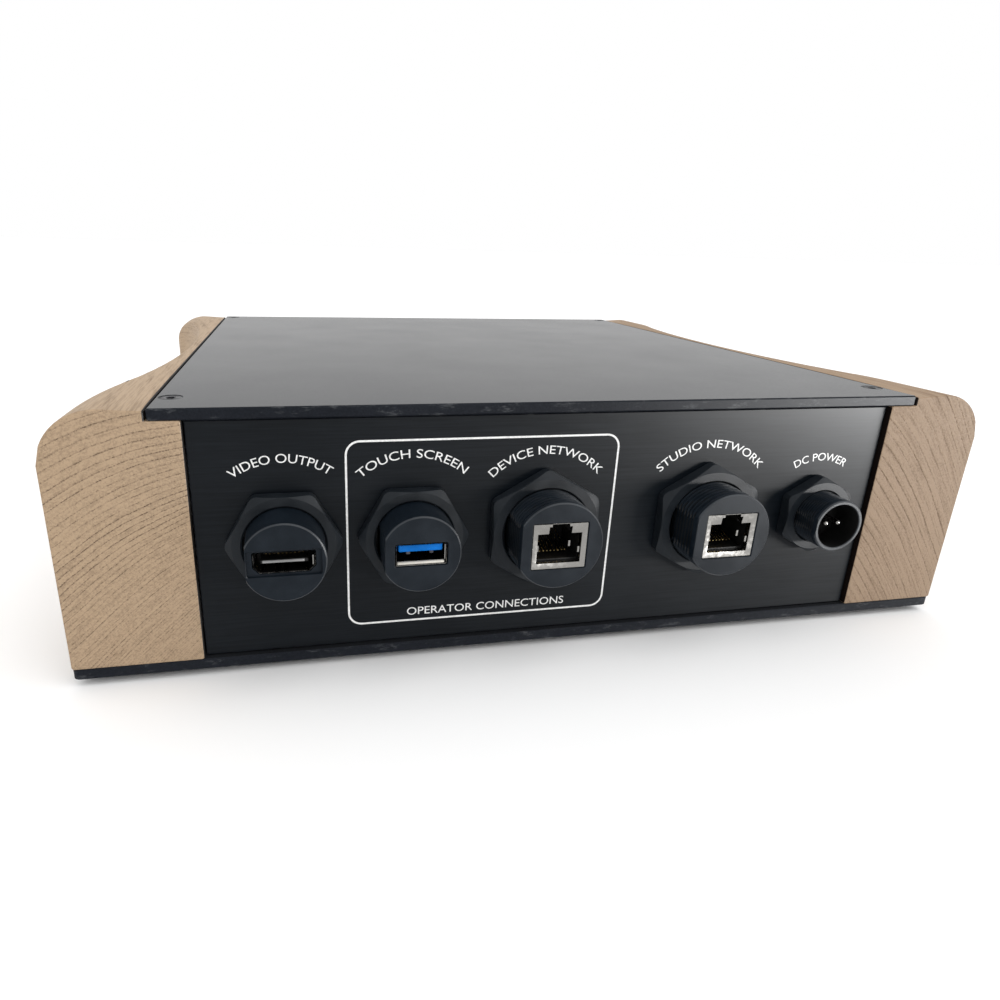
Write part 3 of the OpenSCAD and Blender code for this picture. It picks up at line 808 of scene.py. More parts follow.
LEFT_WOOD = RingWood("left cheek timber", "cheek_wood")
RIGHT_WOOD = RingWood("right cheek timber", "cheek_wood", middle_x=114.0, slope=(-1.2, -0.25),
                      bow=(-0.3, 0.2), ring=3.8, ring_growth=0.001, streak=2.1, fibre=480.0,
                      level=0.04, light=(0.352, 0.252, 0.171), dark=(0.170, 0.112, 0.071))
LID_SKIN = Anodised("satin black lid", "anodised_lid", smooth=0.20, dull=0.27, ior=1.22)
SHEET_EDGE = Anodised("cut sheet edge", "black_sheet", colour=(0.008, 0.0095, 0.013), smooth=0.34,
                      dull=0.46, depth=0.00001, level=0.06, wear=0.5)
PANEL_SKIN = Anodised("brushed black panel", "black_sheet", colour=(0.0010, 0.0024, 0.0042), smooth=0.33,
                      dull=0.37, grain=Grain.ALONG_X, depth=0.0016 * MM, level=0.15)
PORT_SKIN = Moulded("matt port nylon", "port_plastic", colour=(0.0045, 0.0078, 0.0122),
                    roughness=0.46, level=0.11)
NUT_SKIN = Moulded("matt nut nylon", "port_plastic", colour=(0.0080, 0.0105, 0.0135),
                   roughness=0.42, level=0.17)
# Painted highlight: a lighter copy of the port plastic, standing for the light caught on the face chamfers
# and the inlet's face ring.
RIM_HIGHLIGHT_SKIN = Moulded("port rim with painted highlight", "port_plastic", colour=(0.022, 0.026, 0.031),
                   roughness=0.40, level=0.26)
# Painted highlight: a pale grey for the light line along the video tongue's front edge.
TONGUE_EDGE_HIGHLIGHT = Moulded("tongue edge with painted highlight", "jack_plastic", colour=(0.22, 0.22, 0.22), roughness=0.4)
CREAM_SKIN = Moulded("cream sleeve strip", "jack_plastic", colour=(0.50, 0.48, 0.43), roughness=0.4)
SLATE_SKIN = Moulded("slate contact block", "jack_plastic", colour=(0.035, 0.035, 0.045), roughness=0.5)
JACK_SKIN = Moulded("jack plastic", "jack_plastic", colour=(0.004, 0.004, 0.004),
                    roughness=0.42, level=0.25)
BLUE_SKIN = Moulded("blue tongue plastic", "blue_plastic", colour=(0.0006, 0.135, 0.50),
                    roughness=0.30, level=0.10)
RUBBER_SKIN = Moulded("black rubber", "rubber", colour=(0.012, 0.012, 0.012), roughness=0.72)
LEAD_SKIN = Moulded("lead jacket", "lead_jacket", colour=(0.015, 0.015, 0.016), roughness=0.55)
CHIP_SKIN = Moulded("moulded epoxy", "chip_epoxy", colour=(0.014, 0.014, 0.015), roughness=0.5)
NICKEL = Metal("nickel shell", "socket_metal", colour=(0.26, 0.253, 0.24), roughness=0.22)
# Painted shade: a dark copy of the nickel for the sleeves' insides, which look black in shade.
NICKEL_PAINTED_SHADE = Metal("sleeve inside with painted shade", "socket_metal", colour=(0.035, 0.034, 0.033), roughness=0.30)
GOLD = Metal("gold contact", "gold_contact", colour=(0.83, 0.62, 0.28), roughness=0.25)
ZINC = Metal("zinc plate", "zinc_steel", colour=(0.60, 0.60, 0.59), roughness=0.36)
BLACK_OXIDE = Metal("black oxide screw", "black_screw", colour=(0.035, 0.035, 0.04), roughness=0.36)
BRASS = Metal("turned brass", "brass_insert", colour=(0.72, 0.50, 0.20), roughness=0.3)
STAINLESS = Metal("turned stainless", "button_steel", colour=(0.62, 0.62, 0.61), roughness=0.3)
SINK_SKIN = Metal("black fin aluminium", "sink_aluminium", colour=(0.05, 0.05, 0.055), roughness=0.42)
WHITE_INK = Ink("white print", "black_sheet")
MASK = BoardMask("green solder mask", "board_laminate")
RING_GLOW = Glow("milky light ring", "light_ring")


# ---------------------------------------------------------------------------
# The case
# ---------------------------------------------------------------------------


@dataclass
class CaseFrame:
    """The case's planes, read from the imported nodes."""

    lid_low: Vector = field(default_factory=lambda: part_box("lid")[0])
    lid_high: Vector = field(default_factory=lambda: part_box("lid")[1])
    cheek_low: Vector = field(default_factory=lambda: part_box("right_cheek")[0])
    cheek_high: Vector = field(default_factory=lambda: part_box("right_cheek")[1])
    panel_low: Vector = field(default_factory=lambda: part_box("rear_panel")[0])
    base_low: Vector = field(default_factory=lambda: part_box("base_plate")[0])
    base_high: Vector = field(default_factory=lambda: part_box("base_plate")[1])
    waist_reach: float = 4 * MM
    scoop_half_len: float = 115.5 * MM
    scoop_half_w: float = 31.5 * MM
    tip_blend: float = 2.5 * MM

    @property
    def middle_y(self) -> float:
        """The plane halfway between the two ends of the cheeks."""
        return (self.cheek_low.y + self.cheek_high.y) / 2

    def stations(self, count: int = 121) -> Array:
        """Places along Y, closer together near both ends of a cheek.

        Args:
            count: Number of places.

        Returns:
            The places.
        """
        spread = -np.cos(np.linspace(0, math.pi, count))
        return self.middle_y + spread * (self.cheek_high.y - self.cheek_low.y) / 2

    def outer_x(self, y: Array) -> Array:
        """Outer face of the right cheek: the lesser of a plane and an ellipse, blended where they meet.

        The ellipse's x is its centre minus its half width times the square root of one minus the squared
        share of its half length. The blend is the polynomial smooth minimum.

        Args:
            y: Places along Y.

        Returns:
            The x of the outer face at each place.
        """
        share = np.clip((y - self.middle_y) / self.scoop_half_len, -1, 1)
        waist = self.lid_high.x + self.waist_reach
        scoop = waist + self.scoop_half_w * (1 - np.sqrt(1 - share**2))
        flat = self.cheek_high.x
        part = np.clip(0.5 + (scoop - flat) / (2 * self.tip_blend), 0, 1)
        return scoop + (flat - scoop) * part - self.tip_blend * part * (1 - part)


@dataclass
class Cheek:
    """One wooden cheek: a section in X and Z carried along Y, with soft edges all round."""

    case: CaseFrame
    side: int
    round_r: float = 14 * MM
    shelf_gap: float = 0.5 * MM
    edge_r: float = 0.7 * MM
    end_r: float = 0.4 * MM
    scoop_edge: float = 1.1 * MM
    lean: float = 2.2 * MM
    arc_steps: int = 14
    soft_steps: int = 5

    def section(self, y: Array) -> Array:
        """The closed section at each place along Y, for the right cheek.

        The outer side rises to where it meets the rounded upper edge, a quarter circle, and then follows it
        to the flat top. Every other corner is rounded by a small arc.

        Args:
            y: Places along Y, n of them.

        Returns:
            Points, n by m by 2, as x and z.
        """
        case, n = self.case, len(y)
        out = case.outer_x(y)
        low_z, top_z = case.cheek_low.z, case.cheek_high.z
        arc_x, arc_z = case.cheek_high.x - self.round_r, top_z - self.round_r
        reach = np.clip((out - arc_x) / self.round_r, 0, 1)
        start = np.arccos(reach)
        step = np.linspace(0, 1, self.arc_steps)
        angle = start[:, None] + (math.pi / 2 - start[:, None]) * step
        run_x = np.where(out[:, None] > arc_x, arc_x + self.round_r * np.cos(angle), out[:, None])
        run_x = run_x - step * self.lean * (1 - reach[:, None])
        past = np.clip(run_x - arc_x, 0, None)
        run_z = arc_z + np.sqrt(self.round_r**2 - past**2)
        run = np.stack([run_x, run_z], -1)
        inner, shelf_x = case.cheek_low.x, case.lid_high.x + self.shelf_gap
        shelf_z = case.lid_low.z

        def fixed(x: float, z: float) -> Array:
            """The same point at every place along Y."""
            return np.tile([x, z], (n, 1))

        corners = [
            (fixed(inner, low_z), self.edge_r),
            (np.stack([out, np.full(n, low_z)], 1), self.edge_r),
            (run[:, 0], self.scoop_edge),
            (fixed(shelf_x, top_z), self.edge_r),
            (fixed(shelf_x, shelf_z), 0.0),
            (fixed(inner, shelf_z), self.edge_r),
        ]
        upper_edge = 2
        parts = []
        for number, (corner, radius) in enumerate(corners):
            before = corners[number - 1][0]
            after = corners[(number + 1) % len(corners)][0]
            if number == upper_edge:
                parts.append(soft_corner(before, corner, run[:, 3], radius, self.soft_steps))
                parts.append(run[:, 3:])
            elif radius:
                parts.append(soft_corner(before, corner, after, radius, self.soft_steps))
            else:
                parts.append(corner[:, None])
        return np.concatenate(parts, 1)

    def build(self) -> bpy.types.Object:
        """Carries the section along Y, drawn in at both ends along a quarter circle, and caps it.

        Returns:
            The cheek.
        """
        case, ease = self.case, self.end_r
        turn = np.linspace(0, math.pi / 2, 6)
        rear, front = case.cheek_low.y, case.cheek_high.y
        middle = case.stations()
        middle = middle[(middle > rear + 1.5 * ease) & (middle < front - 1.5 * ease)]
        near = np.concatenate([[rear], rear + ease * (1 - np.cos(turn))])
        drawn = np.concatenate([[ease + 0.2 * MM], ease * (1 - np.sin(turn))])
        y = np.concatenate([near, middle, (front + rear - near)[::-1]])
        draw_in = np.concatenate([drawn, np.zeros(len(middle)), drawn[::-1]])
        section = self.section(np.clip(y, rear + ease, front - ease))
        section = offset_loop(section, -draw_in[:, None, None])
        points = np.empty((*section.shape[:2], 3))
        points[..., 0] = section[..., 0] * self.side
        points[..., 1] = y[:, None]
        points[..., 2] = section[..., 1]
        shape = Surface()
        shape.run(points)
        name = "right_cheek" if self.side > 0 else "left_cheek"
        wood = RIGHT_WOOD if self.side > 0 else LEFT_WOOD
        return shape.piece(f"{name}_timber", wood, (name,), sharp=math.radians(40))


def soft_corner(before: Array, corner: Array, after: Array, radius: float, steps: int) -> Array:
    """Rounds a row of corners, each by an arc that touches both of its edges.

    The arc's middle lies on the line that halves the corner, and its points turn evenly from one touching
    point to the other.

    Args:
        before: The points that each corner is reached from, n by 2.
        corner: The corners, n by 2.
        after: The points that each corner leads to, n by 2.
        radius: Radius of the arcs.
        steps: Number of points on each arc.

    Returns:
        The arcs, n by steps by 2.
    """
    back, on = before - corner, after - corner
    back = back / np.linalg.norm(back, axis=1, keepdims=True)
    on = on / np.linalg.norm(on, axis=1, keepdims=True)
    half = np.arccos(np.clip((back * on).sum(1, keepdims=True), -1, 1)) / 2
    toward = (back + on) / np.linalg.norm(back + on, axis=1, keepdims=True)
    middle = corner + toward * radius / np.sin(half)
    first = corner + back * radius / np.tan(half) - middle
    last = corner + on * radius / np.tan(half) - middle
    swing = (math.pi - 2 * half)[:, None]
    t = np.linspace(0, 1, steps)[None, :, None]
    turned = np.sin((1 - t) * swing) * first[:, None] + np.sin(t * swing) * last[:, None]
    return middle[:, None] + turned / np.sin(swing)


@dataclass
class Plates:
    """The metal sheets of the case: lid, base, rear panel and front panel."""

    case: CaseFrame
    lid_bevel: float = 0.35 * MM
    base_bevel: float = 0.3 * MM
    panel_bevel: float = 0.2 * MM
    lid_corner_r: float = 0.5 * MM
    base_corner_r: float = 1.5 * MM
    panel_corner_r: float = 0.3 * MM
    screw_head_r: float = 2.9 * MM
    screw_in: float = 3.7 * MM
    screw_rear: float = 13 * MM
    screw_front: float = 5 * MM
    screw_hole_r: float = 1.7 * MM
    screw_flare: float = 1.35 * MM

    def lid_screw_places(self) -> list[tuple[float, float]]:
        """Centres of the four screws in the lid.

        Returns:
            Their x and y.
        """
        case = self.case
        x = case.lid_high.x - self.screw_in
        ys = (case.lid_low.y + self.screw_rear, case.lid_high.y - self.screw_front)
        return [(side * x, y) for side in (-1, 1) for y in ys]

    def base_screw_places(self) -> list[tuple[float, float]]:
        """Centres of the six screws in the base: down the middle of each cheek's waist.

        Returns:
            Their x and y.
        """
        low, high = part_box("base_screws")
        x = high.x - self.screw_head_r
        inset = low.y + self.screw_head_r
        ys = (inset, self.case.middle_y, 2 * self.case.middle_y - inset)
        return [(side * x, y) for side in (-1, 1) for y in ys]

    def lid(self) -> bpy.types.Object:
        """A rectangle with four countersunk holes.

        Returns:
            The lid.
        """
        low, high = self.case.lid_low, self.case.lid_high
        outline = rectangle_in(low, high, Plane.PLAN, self.lid_corner_r, 4)
        holes = [Hole(circle(x, y, self.screw_hole_r), high_flare=self.screw_flare,
                      high_depth=self.screw_flare) for x, y in self.lid_screw_places()]
        shape = Surface()
        shape.plate(Plane.PLAN, outline, holes, low.z, high.z, self.lid_bevel, 0, 1)
        return shape.piece("lid_sheet", [LID_SKIN, SHEET_EDGE], ("lid",))

    def base(self) -> bpy.types.Object:
        """The plan of both cheeks and the case between them, with small rounded corners.

        Returns:
            The base.
        """
        case = self.case
        low, high = case.base_low, case.base_high
        y = case.stations(141)
        r = self.base_corner_r
        from_end = np.minimum(y - low.y, high.y - y)
        corner = high.x - r + np.sqrt(np.clip(r**2 - np.clip(r - from_end, 0, r) ** 2, 0, None))
        x = np.minimum(case.outer_x(y), corner)
        outline = np.concatenate([np.stack([x, y], 1), np.stack([-x[::-1], y[::-1]], 1)])
        holes = [Hole(circle(px, py, self.screw_hole_r), low_flare=self.screw_flare,
                      low_depth=self.screw_flare) for px, py in self.base_screw_places()]
        shape = Surface()
        shape.plate(Plane.PLAN, outline, holes, low.z, high.z, self.base_bevel, 0, 1)
        return shape.piece("base_sheet", [LID_SKIN, SHEET_EDGE], ("base_plate",))

    def panel(self, node: str, holes: list[Hole]) -> bpy.types.Object:
        """An upright sheet with holes.

        Args:
            node: CAD node of the panel.
            holes: Its holes, outlined in X and Z.

        Returns:
            The panel.
        """
        low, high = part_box(node)
        outline = rectangle_in(low, high, Plane.UPRIGHT, self.panel_corner_r, 3)
        shape = Surface()
        shape.plate(Plane.UPRIGHT, outline, holes, low.y, high.y, self.panel_bevel, 0, 1)
        return shape.piece(f"{node}_sheet", [PANEL_SKIN, SHEET_EDGE], (node,))


# ---------------------------------------------------------------------------
# Ports
# ---------------------------------------------------------------------------


@dataclass
class Port:
    """A sealed panel port: a moulded body through the panel, a nut outside it and a seal inside it."""

    node: str
    radius: float
    nut_flats: float
    nut_turn: float
    flat: float
    thread_pitch: float = 0.0
    thread_depth: float = 0.0
    thread_end: float = 2.4 * MM
    face_chamfer: float = 0.35 * MM
    nut_play: float = 0.15 * MM
    flange_t: float = 3 * MM
    flange_edge: float = 0.3 * MM
    tail_edge: float = 0.4 * MM
    round_steps: int = 120

    @property
    def middle(self) -> tuple[float, float]:
        """Axis of the port, as x and z, from its nut."""
        low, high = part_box(f"{self.node}_nut")
        return (low.x + high.x) / 2, (low.z + high.z) / 2

    @property
    def face_y(self) -> float:
        """Plane of the port's outer face."""
        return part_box(f"{self.node}_body")[0].y

    def hole(self) -> Hole:
        """The hole that the panel needs."""
        x, z = self.middle
        return Hole(circle(x, z, self.radius + 0.2 * MM, 96, self.flat + 0.2 * MM))

    def ring_points(self, radius: Array, y: Array, with_flat: bool = True) -> Array:
        """Rings about the port's axis, with the flat cut at the left.

        Args:
            radius: Radius at each ring, or at each ring and angle.
            y: Place of each ring.
            with_flat: Whether the flat is cut.

        Returns:
            Points, rings by steps by 3.
        """
        x, z = self.middle
        angle = np.arange(self.round_steps) * TURN / self.round_steps
        radius = np.broadcast_to(radius if np.ndim(radius) == 2 else np.reshape(radius, (-1, 1)),
                                 (len(y), self.round_steps))
        across = radius * np.cos(angle)
        if with_flat:
            across = np.maximum(across, -self.flat)
        along = np.broadcast_to(y[:, None], across.shape)
        return np.stack([x + across, along, z + radius * np.sin(angle)], -1)

    def barrel(self) -> tuple[Array, Array]:
        """Radius and place of the rings of the body outside the case, from the outer face to the panel.

        A thread is a ridge whose depth is a clipped triangle wave of the place along the axis, less the turn.

        Returns:
            Radii, rings by steps, and places along Y.
        """
        face, start = self.face_y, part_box("rear_panel")[0].y
        c = self.face_chamfer
        lead = [(self.radius - c, face), (self.radius, face + c)]
        if not self.thread_pitch:
            plain = np.array(lead + [(self.radius, start)])
            return np.tile(plain[:, :1], (1, self.round_steps)), plain[:, 1]
        first = face + self.thread_end
        count = int((start - first) / self.thread_pitch * 12)
        run = np.linspace(first, start, count)
        turn = np.arange(self.round_steps) / self.round_steps
        wave = np.abs(2 * np.mod((run[:, None] - first) / self.thread_pitch - turn, 1.0) - 1)
        cut = np.clip(2.2 * wave - 0.6, 0, 1) * self.thread_depth
        cut *= np.clip((run[:, None] - first) / (0.6 * self.thread_pitch), 0, 1)
        groove = [(self.radius, first - 1.2 * MM), (self.radius - 0.25 * MM, first - 1.0 * MM),
                  (self.radius - 0.25 * MM, first - 0.8 * MM), (self.radius, first - 0.6 * MM)]
        head = np.array(lead + groove)
        radii = np.concatenate([np.tile(head[:, :1], (1, self.round_steps)), self.radius - cut])
        return radii, np.concatenate([head[:, 1], run])

    def pocket(self, shape: Surface, face: Array) -> None:
        """Closes the outer face, with the port's own pocket sunk in it; each kind of port has its own.

        Args:
            shape: The body being built.
            face: Outer ring of the face.
        """
        raise NotImplementedError

    def sink(self, shape: Surface, face: Array, loop: Array, depth: float, inner: Array | None = None,
             inner_depth: float = 0.0) -> None:
        """Sinks a straight-walled pocket, and perhaps a smaller one in its floor.

        Args:
            shape: The body being built.
            face: Outer ring of the face.
            loop: Outline of the pocket in X and Z.
            depth: Depth of the pocket.
            inner: Outline of the smaller pocket.
            inner_depth: Its depth below the outer face.
        """
        y = self.face_y
        rounding = 0.12 * MM
        rims = [offset_loop(loop, rounding), loop, loop]
        walls = np.stack([Plane.UPRIGHT.lift(r, at) for r, at in zip(rims, (y, y + rounding, y + depth))])
        shape.cap([face, walls[0]])
        shape.grid(walls)
        if inner is None:
            shape.cap([walls[-1]])
            return
        deeper = np.stack([Plane.UPRIGHT.lift(inner, at) for at in (y + depth, y + inner_depth)])
        shape.cap([walls[-1], deeper[0]])
        shape.grid(deeper)
        shape.cap([deeper[-1]])

    def body(self) -> bpy.types.Object:
        """The moulded body: barrel, pocket, flange inside the panel and tail.

        Returns:
            The body.
        """
        radii, places = self.barrel()
        low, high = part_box(f"{self.node}_body")
        flange_r = (high.x - low.x) / 2
        flange_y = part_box(f"{self.node}_seal")[1].y
        flange_end, edge = flange_y + self.flange_t, self.flange_edge
        shape = Surface()
        outer = self.ring_points(radii, places)
        inner_y = np.array([places[-1], flange_y])
        tail_y = np.array([flange_end, high.y - self.tail_edge, high.y])
        tail_r = np.array([self.radius, self.radius, self.radius - self.tail_edge])
        through = self.ring_points(np.full(2, self.radius), inner_y)
        flange = self.ring_points(np.array([flange_r - edge, flange_r, flange_r, flange_r - edge]),
                                  np.array([flange_y, flange_y + edge, flange_end - edge, flange_end]), False)
        tail = self.ring_points(tail_r, tail_y)
        rings = np.concatenate([outer[:-1], self.joined(outer[-1:], through[:1]), through[1:], flange, tail])
        # Painted highlight: the chamfer from the face to the barrel takes the lighter rim finish.
        shape.grid(rings[:2], tint=1)
        # Painted shade: quads deep in the thread's grooves take the near-black jack plastic.
        tints = np.zeros((len(rings) - 2, self.round_steps), int)
        depth = self.radius - (radii[1:-1] + radii[2:]) / 2
        tints[:len(depth)] = np.where(depth > 0.55 * self.thread_depth + 0.01 * MM, 2, 0)
        shape.grid(rings[1:], tint=tints.ravel())
        self.pocket(shape, rings[0])
        shape.cap([rings[-1]])
        skins = [PORT_SKIN, RIM_HIGHLIGHT_SKIN, JACK_SKIN]
        return shape.piece(f"{self.node}_moulding", skins, (f"{self.node}_body",))

    def joined(self, a: Array, b: Array) -> Array:
        """Two rings one after the other, or the second alone where they are the same.

        Args:
            a: First ring, 1 by steps by 3.
            b: Second ring.

        Returns:
            One ring or two.
        """
        return b if np.allclose(a, b, atol=1e-6) else np.concatenate([a, b + [0, 0.02 * MM, 0]])

    def nut(self) -> bpy.types.Object:
        """A hexagon nut: its section runs from the bore round the hexagon and the chamfer, and back.

        The chamfer is a cone that meets the outer face in a circle almost as wide as the flats.

        Returns:
            The nut.
        """
        x, z = self.middle
        low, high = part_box(f"{self.node}_nut")
        angle, stretch = hexagon(20)
        half = self.nut_flats / 2
        corner = half * stretch - 0.35 * MM * np.clip((stretch - 1.11) / 0.045, 0, 1) ** 2
        front, back = low.y, high.y
        bore = self.radius + self.nut_play
        face_r = half - 0.1 * MM
        slope = (corner - face_r) * 0.62 + 0.15 * MM
        even = np.ones_like(corner)
        rows = [
            (bore * even, back * even), ((bore + 0.3 * MM) * even, back * even),
            (corner - 0.25 * MM, back * even), (corner, (back - 0.25 * MM) * even), (corner, front + slope),
            (face_r * even, front * even), ((bore + 0.45 * MM) * even, front * even),
            (bore * even, (front + 0.45 * MM) * even),
        ]
        angle = angle + self.nut_turn
        points = np.stack([np.stack([x + r * np.cos(angle), at, z + r * np.sin(angle)], -1)
                           for r, at in rows])
        shape = Surface()
        shape.grid(points, wrap_rows=True)
        return shape.piece(f"{self.node}_hex_nut", NUT_SKIN, (f"{self.node}_nut",), sharp=math.radians(18))

    def seal(self) -> bpy.types.Object:
        """A flat washer with round edges: a stretched circle carried round the axis.

        Returns:
            The washer.
        """
        low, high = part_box(f"{self.node}_seal")
        outer, inner = (high.x - low.x) / 2, self.radius + 0.12 * MM
        turn = np.arange(12) * TURN / 12
        half = (outer - inner) / 2
        bulge = np.sign(np.cos(turn)) * np.abs(np.cos(turn)) ** 0.5
        rise = np.sign(np.sin(turn)) * np.abs(np.sin(turn)) ** 0.5
        radii = (outer + inner) / 2 + half * bulge
        y = (low.y + high.y) / 2 + (high.y - low.y) / 2 * rise
        shape = Surface()
        shape.grid(self.ring_points(radii, y, False), wrap_rows=True)
        return shape.piece(f"{self.node}_washer", RUBBER_SKIN, (f"{self.node}_seal",))

    def build(self) -> None:
        """Makes every piece of the port."""
        self.body()
        self.nut()
        self.seal()
        self.socket()

    def socket(self) -> None:
        """Makes what is inside the pocket; each kind of port has its own."""
        raise NotImplementedError


def sleeve(shape: Surface, outer: Array, inner: Array, mouth: float, back: float, wall: float,
           lip: float) -> None:
    """Adds a sheet sleeve: a rolled lip at its open mouth, a closed back, and a second tint inside that
    paints shade.

    Args:
        shape: The surface to add to.
        outer: Outline of its outside, in X and Z.
        inner: Outline of its inside, with as many points.
        mouth: Plane of the mouth.
        back: Plane of the back.
        wall: Thickness of the back.
        lip: Depth of the rounding at the mouth.
    """
    middle = (outer + inner) / 2
    steps = [(outer, back), (outer, mouth + lip), ((outer + middle) / 2, mouth + 0.3 * lip), (middle, mouth),
             ((inner + middle) / 2, mouth + 0.3 * lip), (inner, mouth + lip), (inner, back - wall)]
    rings = np.stack([Plane.UPRIGHT.lift(loop, at) for loop, at in steps])
    shape.grid(rings[:5])
    # Painted shade: the inside of the sleeve takes the second, darker finish.
    shape.grid(rings[4:], tint=1)
    shape.cap([rings[0]])
    shape.cap([rings[-1]], 1)


@dataclass
class VideoPort(Port):
    """A port for a wide flat video plug with two cut lower corners."""

    pocket_size: tuple[float, float] = (17.8 * MM, 6.8 * MM)
    recess: float = 0.8 * MM
    cut: float = 1.6 * MM

    def outline(self, grow: float) -> Array:
        """The plug's outline, in X and Z.

        Args:
            grow: How far outside the sleeve it stands.

        Returns:
            The outline.
        """
        x, z = self.middle
        low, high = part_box("video_port_shell")
        w, h = (high.x - low.x) / 2, (high.z - low.z) / 2
        c = self.cut
        loop = np.array([[-w + c, -h], [w - c, -h], [w, -h + c], [w, h - 0.3 * MM], [w - 0.3 * MM, h],
                         [-w + 0.3 * MM, h], [-w, h - 0.3 * MM], [-w, -h + c]])
        return offset_loop(loop + [x, z], grow)

    def pocket(self, shape: Surface, face: Array) -> None:
        """A shallow rectangular recess, with the socket's own hole in its floor.

        Args:
            shape: The body being built.
            face: Outer ring of the face.
        """
        x, z = self.middle
        loop = rounded_rectangle(x, z, *self.pocket_size, 0.5 * MM, 4)
        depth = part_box("video_port_shell")[1].y - self.face_y
        self.sink(shape, face, loop, self.recess, self.outline(0.06 * MM), depth + 0.3 * MM)

    def socket(self) -> None:
        """The metal sleeve, the tongue and its row of contacts."""
        low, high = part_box("video_port_shell")
        shape = Surface()
        sleeve(shape, self.outline(0.0), self.outline(-0.4 * MM), low.y, high.y, 0.4 * MM, 0.5 * MM)
        x, wall = self.middle[0], high.x - 0.4 * MM
        shape.box((wall - 0.5 * MM, low.y + 0.5 * MM, high.z - 3.4 * MM),
                  (wall - 0.1 * MM, low.y + 1.0 * MM, high.z - 0.75 * MM), 0, 0.08 * MM)
        for number in range(3):
            at = x + (number * 2.2 - 2.4) * MM
            shape.box((at - 0.5 * MM, low.y + 0.9 * MM, low.z + 0.42 * MM),
                      (at + 0.5 * MM, low.y + 1.7 * MM, low.z + 0.85 * MM), 0, 0.15 * MM)
        shape.piece("video_port_sleeve", [NICKEL, NICKEL_PAINTED_SHADE], ("video_port_shell",))
        low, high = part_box("video_port_tongue")
        shape = Surface()
        shape.box(low, high, bevel=0.12 * MM)
        # Painted highlight: a pale strip along the top of the tongue's front edge.
        shape.box((low.x + 0.5 * MM, low.y - 0.3 * MM, high.z - 0.75 * MM),
                  (high.x - 0.9 * MM, low.y + 0.3 * MM, high.z - 0.1 * MM), 2, 0.1 * MM)
        pitch = 1.0 * MM
        for number in range(10):
            x = self.middle[0] + (number - 4.5) * pitch
            for z0, z1 in ((high.z - 0.02 * MM, high.z + 0.12 * MM), (low.z - 0.12 * MM, low.z + 0.02 * MM)):
                shape.box((x - 0.22 * MM, low.y + 3.6 * MM, z0), (x + 0.22 * MM, high.y - 0.3 * MM, z1),
                          1, 0.03 * MM)
        shape.piece("video_port_blade", [JACK_SKIN, GOLD, TONGUE_EDGE_HIGHLIGHT], ("video_port_tongue",))


@dataclass
class TouchPort(Port):
    """A port for a flat serial plug, with a blue tongue in the upper half of its sleeve."""

    def outline(self, grow: float) -> Array:
        """The sleeve's outline, in X and Z, grown by a distance."""
        low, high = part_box("touch_port_shell")
        return rectangle_in(low, high, Plane.UPRIGHT, max(0.4 * MM + grow, 0.15 * MM), 4, grow)

    def pocket(self, shape: Surface, face: Array) -> None:
        """A rectangular hole just wider than the sleeve."""
        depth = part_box("touch_port_shell")[1].y - self.face_y
        self.sink(shape, face, self.outline(0.14 * MM), depth + 0.3 * MM)

    def socket(self) -> None:
        """The metal sleeve with its two springs, and the tongue with its contacts."""
        low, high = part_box("touch_port_shell")
        shape = Surface()
        sleeve(shape, self.outline(0.0), self.outline(-0.35 * MM), low.y, high.y, 0.35 * MM, 0.4 * MM)
        x, wall = self.middle[0], high.x - 0.35 * MM
        shape.box((low.x + 0.5 * MM, low.y + 0.2 * MM, low.z + 0.30 * MM),
                  (high.x - 0.7 * MM, low.y + 1.0 * MM, low.z + 0.95 * MM), 2, 0.12 * MM)
        shape.box((wall - 0.3 * MM, low.y + 0.4 * MM, low.z + 1.2 * MM),
                  (wall - 0.02 * MM, low.y + 1.0 * MM, high.z - 0.6 * MM), 0, 0.06 * MM)
        for side in (-1, 1):
            at = x + side * 3 * MM
            shape.box((at - 0.55 * MM, low.y + 2.6 * MM, low.z + 2.0 * MM),
                      (at + 0.55 * MM, low.y + 3 * MM, low.z + 3.0 * MM), 3, 0.15 * MM)
        shape.piece("touch_port_sleeve", [NICKEL, NICKEL_PAINTED_SHADE, CREAM_SKIN, SLATE_SKIN], ("touch_port_shell",))
        low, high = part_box("touch_port_tongue")
        shape = Surface()
        shape.box(low, high, bevel=0.2 * MM)
        for number in range(4):
            at = x + (number - 1.5) * 2.3 * MM
            shape.box((at - 0.5 * MM, low.y + 2 * MM, low.z - 0.12 * MM),
                      (at + 0.5 * MM, high.y - 0.5 * MM, low.z + 0.02 * MM), 1, 0.04 * MM)
        shape.piece("touch_port_blade", [BLUE_SKIN, GOLD], ("touch_port_tongue",))


